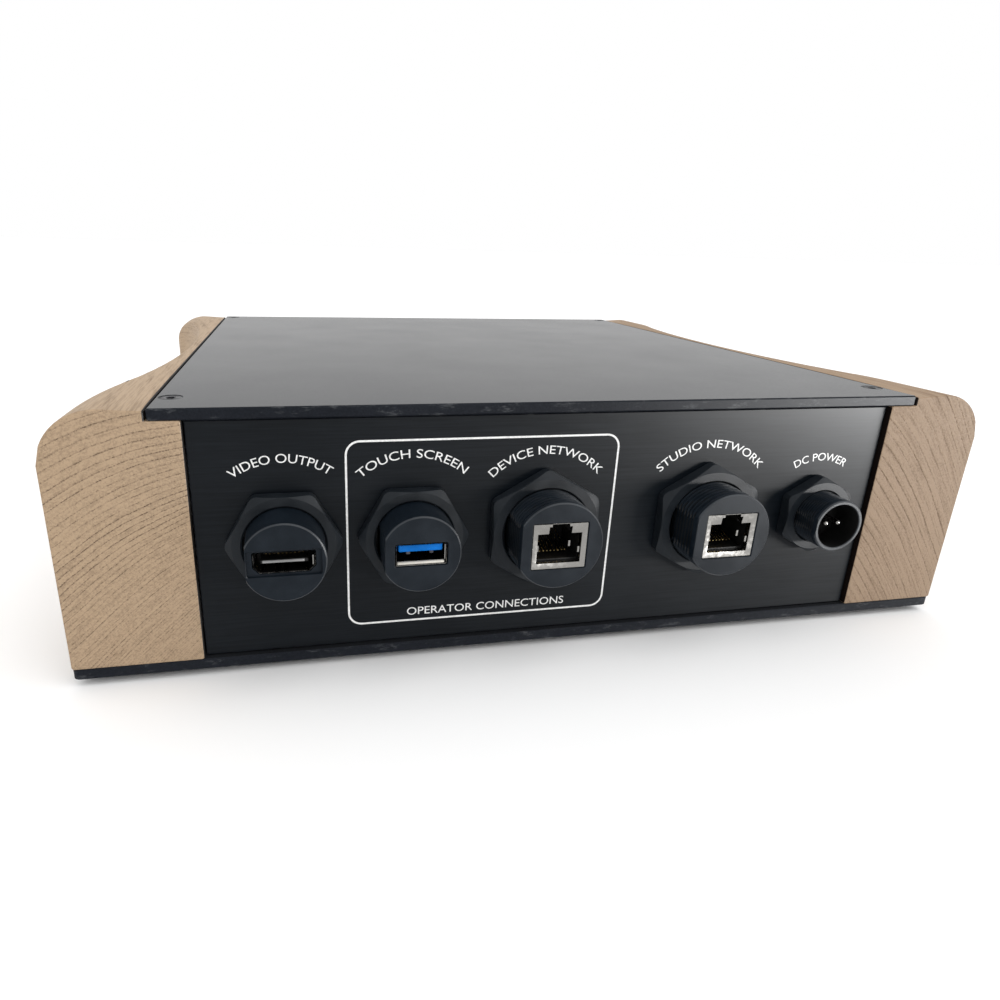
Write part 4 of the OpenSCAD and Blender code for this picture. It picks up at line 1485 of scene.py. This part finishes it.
@dataclass
class NetworkPort(Port):
    """A port for a modular network plug: a metal frame round a stepped mouth, with eight sprung contacts."""

    mouth: tuple[float, float] = (12 * MM, 6.9 * MM)
    floor_drop: float = 4.4 * MM
    step: tuple[float, float] = (6.2 * MM, 2 * MM)
    notch: tuple[float, float] = (4.7 * MM, 0.9 * MM)
    wall: float = 0.4 * MM

    def opening(self, grow: float = 0.0) -> Array:
        """The stepped mouth: a wide slot, a narrower step over it and a notch for the latch on top.

        Args:
            grow: How far outside the mouth the outline stands.

        Returns:
            The outline, in X and Z.
        """
        x, z = self.middle
        w, s, n = self.mouth[0] / 2, self.step[0] / 2, self.notch[0] / 2
        z0, z1 = -self.floor_drop, self.mouth[1] / 2
        z2 = z1 + self.step[1]
        z3 = z2 + self.notch[1]
        loop = np.array([[-w, z0], [w, z0], [w, z1], [s, z1], [s, z2], [n, z2], [n, z3],
                         [-n, z3], [-n, z2], [-s, z2], [-s, z1], [-w, z1]])
        return offset_loop(loop + [x, z], grow)

    def frame_outline(self, grow: float = 0.0) -> Array:
        """The outside of the metal frame, in X and Z."""
        low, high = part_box(f"{self.node}_shell")
        return rectangle_in(low, high, Plane.UPRIGHT, 0.35 * MM, 3, grow)

    def pocket(self, shape: Surface, face: Array) -> None:
        """A rectangular hole just wider than the metal frame."""
        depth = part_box(f"{self.node}_shell")[1].y - self.face_y
        self.sink(shape, face, self.frame_outline(0.1 * MM), depth + 0.2 * MM)

    def socket(self) -> None:
        """The metal frame, the black jack inside it, and the contacts."""
        self.metal_frame()
        self.jack()
        self.contacts()

    def metal_frame(self) -> None:
        """A thin front whose lower and side strips slope in to the mouth, on a sleeve that runs back.

        The mouth's points go back a little along its floor and up its sides; the step and the notch stay in
        the front plane.
        """
        low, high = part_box(f"{self.node}_shell")
        outer, hole = self.frame_outline(), self.opening(0.02 * MM)
        z = self.middle[1]
        floor = z - self.floor_drop + 0.1 * MM
        hole[hole[:, 1] < floor] -= [0.0, 0.45 * MM]
        sides = z + self.mouth[1] / 2 + 0.1 * MM
        back = np.where(hole[:, 1] < floor, 0.35 * MM, np.where(hole[:, 1] < sides, 0.3 * MM, 0.0))
        shape = Surface()
        rim = np.stack([Plane.UPRIGHT.lift(offset_loop(outer, -0.15 * MM), low.y),
                        Plane.UPRIGHT.lift(outer, low.y + 0.15 * MM), Plane.UPRIGHT.lift(outer, high.y),
                        Plane.UPRIGHT.lift(offset_loop(outer, -self.wall), high.y),
                        Plane.UPRIGHT.lift(offset_loop(outer, -self.wall), low.y + 2 * MM)])
        lip = np.stack([Plane.UPRIGHT.lift(hole, low.y + back), Plane.UPRIGHT.lift(hole, low.y + 2 * MM)])
        front = tessellate_polygon([Plane.UPRIGHT.lift(rim[0][:, [0, 2]], 0.0).tolist(),
                                    Plane.UPRIGHT.lift(hole, 0.0).tolist()])
        shape.add(np.concatenate([rim[0], lip[0]]), front)
        shape.grid(rim)
        shape.grid(lip)
        shape.cap([rim[-1], lip[-1]])
        x = self.middle[0]
        for aside, deep, z0 in ((5.55, 0.7, -2.3), (3.2, 1.5, -0.8), (-5.75, 0.7, -1.6)):
            at = x + aside * MM
            shape.box((at - 0.28 * MM, low.y + deep * MM, z + z0 * MM),
                      (at + 0.28 * MM, low.y + (deep + 0.6) * MM, z + (z0 + 1.7) * MM), 0, 0.06 * MM)
        shape.piece(f"{self.node}_frame", NICKEL, (f"{self.node}_shell",))

    def jack(self) -> None:
        """The black block behind the frame, with the mouth sunk in it."""
        low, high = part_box(f"{self.node}_jack")
        outline = rectangle_in(low, high, Plane.UPRIGHT, 0.2 * MM, 3)
        front, floor = low.y + 1.9 * MM, low.y + 13.6 * MM
        hole = self.opening()
        shape = Surface()
        outer = np.stack([Plane.UPRIGHT.lift(outline, at) for at in (front, high.y)])
        inner = np.stack([Plane.UPRIGHT.lift(hole, at) for at in (front, floor)])
        shape.grid(outer)
        shape.grid(inner)
        shape.cap([outer[0], inner[0]])
        shape.cap([inner[-1]])
        shape.cap([outer[-1]])
        shape.piece(f"{self.node}_insert", JACK_SKIN, (f"{self.node}_jack",))

    def contacts(self) -> None:
        """Eight round wires that lie along the floor, then slope up and back."""
        low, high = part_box(f"{self.node}_contacts")
        pitch = (high.x - low.x - 0.4 * MM) / 7
        shape = Surface()
        path = np.array([[low.y, low.z + 0.2 * MM], [low.y + 0.6 * MM, low.z + 0.25 * MM],
                         [(low.y + high.y) / 2, (low.z + high.z) / 2],
                         [high.y - 0.2 * MM, high.z - 0.25 * MM]])
        for number in range(8):
            x = low.x + 0.2 * MM + number * pitch
            points = np.column_stack([np.full(len(path), x), path])
            shape.run(tube(points, 0.18 * MM, 8))
        shape.piece(f"{self.node}_wires", GOLD, (f"{self.node}_contacts",))


@dataclass
class PowerInlet(Port):
    """A round inlet with a fine thread outside and two pins in its bore."""

    bore_r: float = 6.55 * MM
    bore_depth: float = 9 * MM

    def pocket(self, shape: Surface, face: Array) -> None:
        """A round bore with a small key rib along its top, and a raised floor round the pins.

        Args:
            shape: The body being built.
            face: Outer ring of the face.
        """
        x, z = self.middle
        y = self.face_y
        angle = np.arange(self.round_steps) * TURN / self.round_steps
        rib = 0.55 * MM * np.exp(-(((angle - TURN / 4) / 0.11) ** 2))
        ribbed, even = self.bore_r - rib, np.ones_like(angle)
        rows = [((self.bore_r + 0.2 * MM) * even, y), (self.bore_r * even, y + 0.2 * MM),
                (ribbed, y + 1.6 * MM), (ribbed, y + self.bore_depth),
                (self.bore_r * 0.72 * even, y + self.bore_depth),
                (self.bore_r * 0.66 * even, y + self.bore_depth - 0.8 * MM)]
        rings = np.stack([np.stack([x + r * np.cos(angle), at * even, z + r * np.sin(angle)], -1)
                          for r, at in rows])
        # Painted highlight: the face round the bore and the bore's chamfer take the lighter rim finish.
        shape.cap([face, rings[0]], 1)
        shape.grid(rings[:2], tint=1)
        shape.grid(rings[1:], tint=2)
        shape.cap([rings[-1]], 2)

    def socket(self) -> None:
        """Two pins with rounded ends: a radius that falls along a quarter circle at the tip."""
        low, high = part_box("power_inlet_pins")
        radius = (high.z - low.z) / 2
        turn = np.linspace(0.05, math.pi / 2, 8)
        y = np.concatenate([low.y + radius - radius * np.cos(turn), [high.y]])
        r = np.concatenate([radius * np.sin(turn), [radius]])
        shape = Surface()
        for x in (low.x + radius, high.x - radius):
            shape.run(revolve(np.stack([r, y], 1), (x, 0.0, (low.z + high.z) / 2), 1, 24))
        shape.piece("power_inlet_contacts", NICKEL, ("power_inlet_pins",))


def tube(path: Array, radius: float | Array, sides: int) -> Array:
    """Rings of a tube along a path in a plane of constant or slowly changing x.

    Each ring stands square to the path: its first axis is the path's direction crossed with X.

    Args:
        path: Points along the middle, n by 3.
        radius: Radius, one number or one for each point.
        sides: Points in a ring.

    Returns:
        Rings, n by sides by 3.
    """
    ahead = np.gradient(path, axis=0)
    ahead /= np.linalg.norm(ahead, axis=1, keepdims=True)
    up = np.cross([1.0, 0.0, 0.0], ahead)
    up /= np.linalg.norm(up, axis=1, keepdims=True)
    side = np.cross(ahead, up)
    angle = np.arange(sides) * TURN / sides
    size = np.broadcast_to(radius, len(path))[:, None, None]
    return path[:, None] + size * (np.cos(angle)[None, :, None] * up[:, None]
                                   + np.sin(angle)[None, :, None] * side[:, None])


# ---------------------------------------------------------------------------
# Printing
# ---------------------------------------------------------------------------


@dataclass
class Printing:
    """Generic white labels on the rear panel, and the printed frame round two of the ports."""

    case: CaseFrame
    letter: float = 3.35 * MM
    arc_r: float = 21.9 * MM
    inlet_arc_r: float = 17.1 * MM
    ink: float = 0.03 * MM
    line: float = 0.52 * MM
    frame_low: tuple[float, float] = (-59.8 * MM, 11.1 * MM)
    frame_high: tuple[float, float] = (14.1 * MM, 63.0 * MM)
    frame_r: float = 3.6 * MM
    caption_w: float = 46 * MM
    caption_right: float = 2 * MM
    caption_up: float = 2.6 * MM

    def flat_text(self, words: str, width: float) -> tuple[Array, list]:
        """A line of text as a thin solid about its middle.

        Args:
            words: The words.
            width: Full width that the line is fitted to.

        Returns:
            Its points in X, height and thickness, and its faces.
        """
        curve = bpy.data.curves.new("label", "FONT")
        curve.body = words
        curve.align_x = "CENTER"
        curve.align_y = "CENTER"
        curve.size = self.letter
        curve.extrude = self.ink / 2
        curve.resolution_u = 4
        item = linked("label", curve)
        bpy.context.view_layer.update()
        mesh = item.evaluated_get(bpy.context.evaluated_depsgraph_get()).to_mesh()
        points = np.empty(len(mesh.vertices) * 3)
        mesh.vertices.foreach_get("co", points)
        faces = [list(p.vertices) for p in mesh.polygons]
        bpy.data.objects.remove(item)
        bpy.data.curves.remove(curve)
        points = points.reshape(-1, 3)
        points[:, 0] *= width / np.ptp(points[:, 0])
        return points, faces

    def arc_label(self, name: str, words: str, port: Port, radius: float, width: float) -> None:
        """Bends a line of text round a port: distance becomes an angle, and height adds to the radius.

        Args:
            name: Name of the piece.
            words: The words.
            port: The port that the label is centred on.
            radius: Radius of the letters' middles.
            width: Length of the line along the arc.
        """
        points, faces = self.flat_text(words, width)
        x, z = port.middle
        angle = points[:, 0] / radius
        out = radius + points[:, 1]
        self.print(name, np.stack([x + out * np.sin(angle), z + out * np.cos(angle)], 1), points[:, 2], faces)

    def print(self, name: str, flat: Array, thick: Array, faces: list) -> None:
        """Lays flat ink on the panel's outer face.

        Args:
            name: Name of the piece.
            flat: Points in X and Z.
            thick: Each point's height above the ink's middle.
            faces: The faces.
        """
        shape = Surface()
        y = self.case.panel_low.y - self.ink * 0.45 - thick
        points = Plane.UPRIGHT.lift(flat, y)
        shape.points.append(points)
        shape.faces += faces
        shape.tints += [0] * len(faces)
        shape.count += len(points)
        shape.piece(name, WHITE_INK)

    def frame_line(self) -> None:
        """The rounded rectangle: a band between two outlines, as a thin solid."""
        low, high = np.array(self.frame_low), np.array(self.frame_high)
        middle, size = (low + high) / 2, high - low
        half = self.line / 2
        outer = rounded_rectangle(*middle, size[0] + 2 * half, size[1] + 2 * half, self.frame_r + half, 12)
        inner = rounded_rectangle(*middle, size[0] - 2 * half, size[1] - 2 * half, self.frame_r - half, 12)
        back, front = self.case.panel_low.y, self.case.panel_low.y - self.ink
        rings = np.stack([Plane.UPRIGHT.lift(loop, at) for loop, at in
                          ((outer, back), (outer, front), (inner, front), (inner, back))])
        shape = Surface()
        shape.grid(rings, wrap_rows=True)
        shape.piece("port_group_line", WHITE_INK)

    def build(self, ports: dict[str, Port]) -> None:
        """Prints every label.

        Args:
            ports: The ports, by their CAD names.
        """
        for name, words, port, radius, width in (
                ("video_label", "VIDEO OUTPUT", "video_port", self.arc_r - 0.1 * MM, 26.3 * MM),
                ("touch_label", "TOUCH SCREEN", "touch_port", self.arc_r + 0.1 * MM, 30.8 * MM),
                ("network_a_label", "DEVICE NETWORK", "network_port_a", self.arc_r, 34.6 * MM),
                ("network_b_label", "STUDIO NETWORK", "network_port_b", self.arc_r + 0.2 * MM, 36.2 * MM),
                ("inlet_label", "DC POWER", "power_inlet", self.inlet_arc_r, 18.0 * MM)):
            self.arc_label(name, words, ports[port], radius, width)
        points, faces = self.flat_text("OPERATOR CONNECTIONS", self.caption_w)
        x = (self.frame_low[0] + self.frame_high[0]) / 2 + self.caption_right
        z = self.frame_low[1] + self.caption_up
        self.print("port_group_label", points[:, :2] + [x, z], points[:, 2], faces)
        self.frame_line()


# ---------------------------------------------------------------------------
# Small parts
# ---------------------------------------------------------------------------


def revolve(profile: Array, centre: tuple[float, float, float], axis: int, steps: int = 48) -> Array:
    """Turns a profile about an axis through a centre.

    Args:
        profile: Points as radius and distance along the axis, n by 2.
        centre: A point on the axis.
        axis: 1 for an axis along Y, 2 for one along Z.
        steps: Points round the axis.

    Returns:
        Rings, n by steps by 3.
    """
    angle = np.arange(steps) * TURN / steps
    across, up = profile[:, :1] * np.cos(angle), profile[:, :1] * np.sin(angle)
    along = np.broadcast_to(profile[:, 1:], across.shape)
    parts = [across, along, up] if axis == 1 else [across, up, along]
    return np.stack(parts, -1) + np.asarray(centre)


@dataclass
class Fasteners:
    """Screws, inserts and feet."""

    plates: Plates
    head_r: float = 2.9 * MM
    shank_r: float = 1.45 * MM
    length: float = 10 * MM
    socket_r: float = 1.15 * MM
    socket_depth: float = 1.2 * MM
    pitch: float = 0.5 * MM
    insert_len: float = 8 * MM
    foot_r: float = 6 * MM

    def countersunk(self, shape: Surface, x: float, y: float, z: float, way: int) -> None:
        """A countersunk screw with a hexagon socket and a threaded shank.

        The shank's radius is a triangle wave along its length.

        Args:
            shape: Surface to add to.
            x: Centre of the head.
            y: Centre of the head.
            z: Plane of the head's face.
            way: 1 if the head faces up, -1 if down.
        """
        cone = self.head_r - self.shank_r
        sink = 0.12 * MM
        run = np.linspace(cone + 0.4 * MM, self.length - 0.6 * MM, 48)
        wave = np.abs(2 * np.mod(run / self.pitch, 1) - 1) * 0.25 * MM
        profile = [(self.head_r - 0.25 * MM, sink), (self.head_r, sink + 0.15 * MM), (self.shank_r, cone)]
        body = np.concatenate([profile, np.stack([self.shank_r - wave, run], 1),
                               [(self.shank_r - 0.3 * MM, self.length)]])
        body[:, 1] *= -way
        rings = revolve(body, (x, y, z), 2, 36)
        angle, stretch = hexagon(6)
        key_r = self.socket_r * math.cos(TURN / 12)
        rows = [(key_r + 0.12 * MM, sink), (key_r, sink + 0.15 * MM), (key_r, sink + self.socket_depth)]
        key = np.stack([np.stack([x + r * stretch * np.cos(angle), y + r * stretch * np.sin(angle),
                                  np.full_like(angle, z - way * at)], -1) for r, at in rows])
        shape.grid(rings)
        shape.grid(key)
        shape.cap([rings[0], key[0]])
        shape.cap([key[-1]])
        shape.cap([rings[-1]])

    def screws(self, name: str, places: list[tuple[float, float]], z: float, way: int, node: str) -> None:
        """A group of countersunk screws as one piece.

        Args:
            name: Name of the piece.
            places: The screws' centres, as x and y.
            z: Plane of the heads.
            way: 1 if the heads face up, -1 if down.
            node: CAD node of the screws.
        """
        shape = Surface()
        for x, y in places:
            self.countersunk(shape, x, y, z, way)
        shape.piece(name, BLACK_OXIDE, (node,))

    def inserts(self) -> None:
        """Knurled brass sleeves: the outer radius is a fine wave of the angle between smooth bands."""
        case = self.plates.case
        shape = Surface()
        angle = np.arange(72) * TURN / 72
        knurl = 0.12 * MM * (0.5 + 0.5 * np.cos(angle * 18))
        spots = [(x, y, case.lid_low.z - self.insert_len) for x, y in self.plates.lid_screw_places()]
        spots += [(x, y, case.base_high.z) for x, y in self.plates.base_screw_places()]
        rows = [(1.55, 0, 0), (2.1, 0, 0), (2.3, 0.3, 0), (2.3, 0.4, 1), (2.3, 3.5, 1), (2.05, 3.7, 0),
                (2.05, 4.3, 0), (2.3, 4.5, 1), (2.3, 7.6, 1), (2.3, 7.7, 0), (2.1, 8, 0), (1.55, 8, 0)]
        sides = [(r * MM - knurl * k, np.full_like(angle, h * MM)) for r, h, k in rows]
        sleeve_rings = np.stack([np.stack([r * np.cos(angle), r * np.sin(angle), h], -1) for r, h in sides])
        for spot in spots:
            shape.grid(sleeve_rings + spot, wrap_rows=True)
        shape.piece("cheek_brass_inserts", BRASS, ("cheek_inserts",))

    def feet(self) -> None:
        """Rubber discs with rounded soles and a shallow dish in each."""
        low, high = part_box("rubber_feet")
        r, h = self.foot_r, high.z - low.z
        profile = np.array([(r, h), (r - 0.1 * MM, h * 0.5), (r - 0.35 * MM, h * 0.18), (r - 0.9 * MM, 0.0),
                            (r - 2.6 * MM, 0.0), (r - 3.4 * MM, 0.35 * MM), (0.4 * MM, 0.4 * MM)])
        shape = Surface()
        for x in (low.x + r, high.x - r):
            for y in (low.y + r, high.y - r):
                shape.run(revolve(profile, (x, y, low.z), 2, 64))
        shape.piece("rubber_soles", RUBBER_SKIN, ("rubber_feet",))

    def build(self) -> None:
        """Makes every fastener that shows."""
        case = self.plates.case
        self.screws("lid_socket_screws", self.plates.lid_screw_places(), case.lid_high.z, 1, "lid_screws")
        self.screws("base_socket_screws", self.plates.base_screw_places(), case.base_low.z, -1, "base_screws")
        self.inserts()
        self.feet()


@dataclass
class PowerButton:
    """The sealed push-button in the front panel: housing, light ring and the cap that travels."""

    hole_r: float = 8.1 * MM
    bezel_r: float = 10 * MM
    thread_r: float = 7.9 * MM
    ring_inner: float = 6.05 * MM
    ring_outer: float = 7.15 * MM
    dish: float = 0.45 * MM

    @property
    def middle(self) -> tuple[float, float]:
        """Axis of the button, as x and z."""
        low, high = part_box("button_cap")
        return (low.x + high.x) / 2, (low.z + high.z) / 2

    def hole(self) -> Hole:
        """The hole that the front panel needs."""
        return Hole(circle(*self.middle, self.hole_r, 96))

    def housing(self) -> None:
        """A turned body: bezel, groove for the ring, bore for the cap, threaded barrel and closed back."""
        x, z = self.middle
        low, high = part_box("button_housing")
        front, back = high.y, low.y
        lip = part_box("button_seal")[1].y
        run = np.linspace(lip - 1 * MM, back + 2 * MM, 140)
        wave = np.abs(2 * np.mod(run / MM, 1) - 1) * 0.35 * MM
        nose = [(5.06, -8.0), (5.06, -0.35), (5.4, 0.0), (6.0, 0.0), (6.0, -0.6), (7.2, -0.6), (7.2, 0.0),
                (9.2, 0.0), (9.75, -0.3), (10.0, -0.8)]
        nose = np.array(nose) * MM + [0.0, front]
        thread = np.stack([self.thread_r - wave, run], 1)
        tail = [(7.4 * MM, back + 1.5 * MM), (7.4 * MM, back + 0.3 * MM), (7.1 * MM, back)]
        body = np.concatenate([nose, [(self.bezel_r, lip), (self.thread_r, lip)], thread, tail])
        shape = Surface()
        shape.run(revolve(body, (x, 0.0, z), 1, 96))
        shape.piece("button_barrel", STAINLESS, ("button_housing",))

    def cap(self) -> None:
        """A shallow dished cap: its face falls by a cosine towards the middle."""
        x, z = self.middle
        low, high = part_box("button_cap")
        radius = (high.x - low.x) / 2
        share = np.linspace(0.92, 0.04, 12)
        dish = self.dish * (0.5 + 0.5 * np.cos(math.pi * share))
        side = [(radius - 0.2 * MM, low.y), (radius, low.y + 0.2 * MM), (radius, high.y - 0.3 * MM),
                (radius - 0.1 * MM, high.y - 0.08 * MM)]
        profile = np.concatenate([side, np.stack([radius * share, high.y - dish], 1)])
        shape = Surface()
        shape.run(revolve(profile, (x, 0.0, z), 1, 96))
        shape.piece("button_push_cap", STAINLESS, ("button_cap",), body=BUTTON)

    def ring(self) -> None:
        """The light ring, with a slightly crowned face."""
        x, z = self.middle
        low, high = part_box("button_light_ring")
        inner, outer = self.ring_inner, self.ring_outer
        turn = np.linspace(0, math.pi, 9)
        crown = np.stack([(inner + outer) / 2 - (outer - inner) / 2 * np.cos(turn),
                          high.y - 0.12 * MM * (1 - np.sin(turn))], 1)
        profile = np.concatenate([[(inner, low.y)], crown, [(outer, low.y)]])
        shape = Surface()
        shape.grid(revolve(profile, (x, 0.0, z), 1, 96), wrap_rows=True)
        shape.piece("button_diffuser", RING_GLOW, ("button_light_ring",))

    def build(self) -> None:
        """Makes the button's visible pieces."""
        self.housing()
        self.cap()
        self.ring()


@dataclass
class Inside:
    """What the closed case hides: smooth leads are made here, and the other CAD pieces only take a finish."""

    lead_pull: float = 20 * MM

    def lead(self, node: str, start: str, radius: float) -> None:
        """A round lead along a cubic curve that leaves both of its ends along Y.

        Args:
            node: CAD node of the lead.
            start: CAD node that it starts behind.
            radius: Radius of its jacket.
        """
        low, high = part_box(node)
        box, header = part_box(start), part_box("board_headers")
        forward = -1 if start == "button_housing" else 1
        x, z0 = (box[0].x + box[1].x) / 2, (box[0].z + box[1].z) / 2
        end_x, z1 = low.x + high.x - x, (header[0].z + header[1].z) / 2
        y0, y1 = (low.y, high.y) if forward > 0 else (high.y, low.y)
        p = np.array([[x, y0, z0], [x, y0 + forward * self.lead_pull, z0],
                      [end_x, y1 - forward * self.lead_pull, z1], [end_x, y1, z1]])
        t = np.linspace(0, 1, 40)[:, None]
        path = (1 - t) ** 3 * p[0] + 3 * t * (1 - t) ** 2 * p[1] + 3 * t**2 * (1 - t) * p[2] + t**3 * p[3]
        shape = Surface()
        shape.run(tube(path, radius, 20))
        shape.piece(f"{node}_jacket", LEAD_SKIN, (node,))

    def build(self) -> None:
        """Lays the leads, then dresses the CAD nodes that stay."""
        for node, start, radius in (
                ("video_lead", "video_port_nut", 2.6), ("touch_lead", "touch_port_nut", 2.6),
                ("network_lead_a", "network_port_a_nut", 2.6), ("network_lead_b", "network_port_b_nut", 2.6),
                ("power_lead", "power_inlet_nut", 2.2), ("button_lead", "button_housing", 1.6)):
            self.lead(node, start, radius * MM)
        dress = {
            ZINC: ("rear_brackets", "front_brackets", "panel_studs", "panel_nuts", "bracket_screws",
                   "board_screws", "board_standoffs"),
            MASK: ("main_board",), CHIP_SKIN: ("processor", "power_module"), JACK_SKIN: ("board_headers",),
            SINK_SKIN: ("heat_sink",), STAINLESS: ("button_nut",), RUBBER_SKIN: ("button_seal",),
        }
        for finish, nodes in dress.items():
            for node in nodes:
                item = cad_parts[node]
                item.data.materials.clear()
                item.data.materials.append(finish.material())
                LOG.info("%s: dressed as %s", node, finish.name)


# ---------------------------------------------------------------------------
# Studio
# ---------------------------------------------------------------------------


@dataclass
class Studio:
    """A pale floor, soft lights and the camera."""

    eye: tuple[float, float, float] = (-0.0710, -0.2728, 0.1090)
    heading: float = 12.4
    dip: float = 19.65
    roll: float = 1.68
    lens: float = 25.0
    shift: tuple[float, float] = (0.0545, -0.0031)
    floor_half: float = 40.0
    sun_power: float = 0.9
    sun_spread: float = 60.0
    sun_way: tuple[float, float, float] = (-0.45, 0.40, -1.0)
    sheen_place: tuple[float, float, float] = (0.74, -0.60, 0.037)
    sheen_aim: tuple[float, float, float] = (0.08, -0.1, 0.037)
    sheen_size: tuple[float, float] = (0.6, 0.066)
    sheen_power: float = 28.0

    def camera(self) -> None:
        """A wide lens close to the ports, looking down and to the right, with the frame shifted sideways."""
        data = bpy.data.cameras.new("view")
        data.lens = self.lens
        data.sensor_width = 36.0
        data.shift_x, data.shift_y = self.shift
        data.clip_start = 0.01
        item = linked("view", data)
        item.matrix_world = (Matrix.Translation(self.eye)
                             @ Matrix.Rotation(-math.radians(self.heading), 4, "Z")
                             @ Matrix.Rotation(math.radians(90 - self.dip), 4, "X")
                             @ Matrix.Rotation(math.radians(self.roll), 4, "Z"))
        bpy.context.scene.camera = item

    def floor(self) -> None:
        """A wide pale floor with faint mottling."""
        mesh = bpy.data.meshes.new("floor")
        s = self.floor_half
        mesh.from_pydata([(-s, -s, 0), (s, -s, 0), (s, s, 0), (-s, s, 0)], [], [(0, 1, 2, 3)])
        graph = Graph("pale floor")
        soft = graph.noise(6.0, 3.0)
        graph.shade(Base_Color=graph.mix(soft, (0.965, 0.965, 0.965), (0.98, 0.98, 0.98)), Roughness=0.9,
                    Specular_IOR_Level=0.1)
        mesh.materials.append(graph.material)
        linked("floor", mesh)

    def light(self, name: str, place: tuple[float, float, float], aim: tuple[float, float, float],
              size: tuple[float, float], power: float) -> bpy.types.Object:
        """A rectangular soft light.

        Args:
            name: Name of the light.
            place: Where it stands.
            aim: What it faces.
            size: Width and height of the rectangle.
            power: Watts.

        Returns:
            The light.
        """
        data = bpy.data.lights.new(name, "AREA")
        data.shape = "RECTANGLE"
        data.size, data.size_y = size
        data.energy = power
        item = linked(name, data)
        item.location = place
        item.rotation_euler = (Vector(aim) - Vector(place)).to_track_quat("-Z", "Y").to_euler()
        return item

    def build(self) -> None:
        """Sets the floor, the sky, the lights and the camera."""
        self.floor()
        world = bpy.data.worlds.new("studio")
        world.use_nodes = True
        sky = world.node_tree.nodes["Background"]
        sky.inputs["Color"].default_value = (1.0, 1.0, 1.0, 1.0)
        sky.inputs["Strength"].default_value = 1.0
        bpy.context.scene.world = world
        key = bpy.data.lights.new("key", "SUN")
        key.energy, key.angle = self.sun_power, math.radians(self.sun_spread)
        item = linked("key", key)
        item.rotation_euler = Vector(self.sun_way).to_track_quat("-Z", "Y").to_euler()
        sheen = self.light("sheen", self.sheen_place, self.sheen_aim, self.sheen_size, self.sheen_power)
        sheen.visible_diffuse = False
        bpy.context.scene.view_settings.view_transform = "Standard"
        self.camera()


def main() -> None:
    """Builds the studio and every part of the console."""
    logging.basicConfig(level=logging.INFO, format="%(message)s")
    Studio().build()
    case = CaseFrame()
    for side in (-1, 1):
        Cheek(case, side).build()
    small = dict(radius=10.2 * MM, nut_flats=26 * MM, nut_turn=0.0, flat=9.1 * MM)
    large = dict(radius=12 * MM, nut_flats=30 * MM, nut_turn=TURN / 12, flat=10.3 * MM,
                 thread_pitch=1.45 * MM, thread_depth=0.9 * MM, thread_end=1.9 * MM)
    ports: dict[str, Port] = {
        "video_port": VideoPort("video_port", **small),
        "touch_port": TouchPort("touch_port", **small),
        "network_port_a": NetworkPort("network_port_a", **large),
        "network_port_b": NetworkPort("network_port_b", **large),
        "power_inlet": PowerInlet("power_inlet", radius=7.7 * MM, nut_flats=21 * MM, nut_turn=TURN / 12,
                                  flat=7.2 * MM, thread_pitch=0.85 * MM, thread_depth=0.5 * MM,
                                  thread_end=1.5 * MM),
    }
    button = PowerButton()
    plates = Plates(case)
    plates.lid()
    plates.base()
    plates.panel("rear_panel", [port.hole() for port in ports.values()])
    plates.panel("front_panel", [button.hole()])
    for port in ports.values():
        port.build()
    Printing(case).build(ports)
    Fasteners(plates).build()
    button.build()
    Inside().build()


if __name__ == "__main__":
    main()
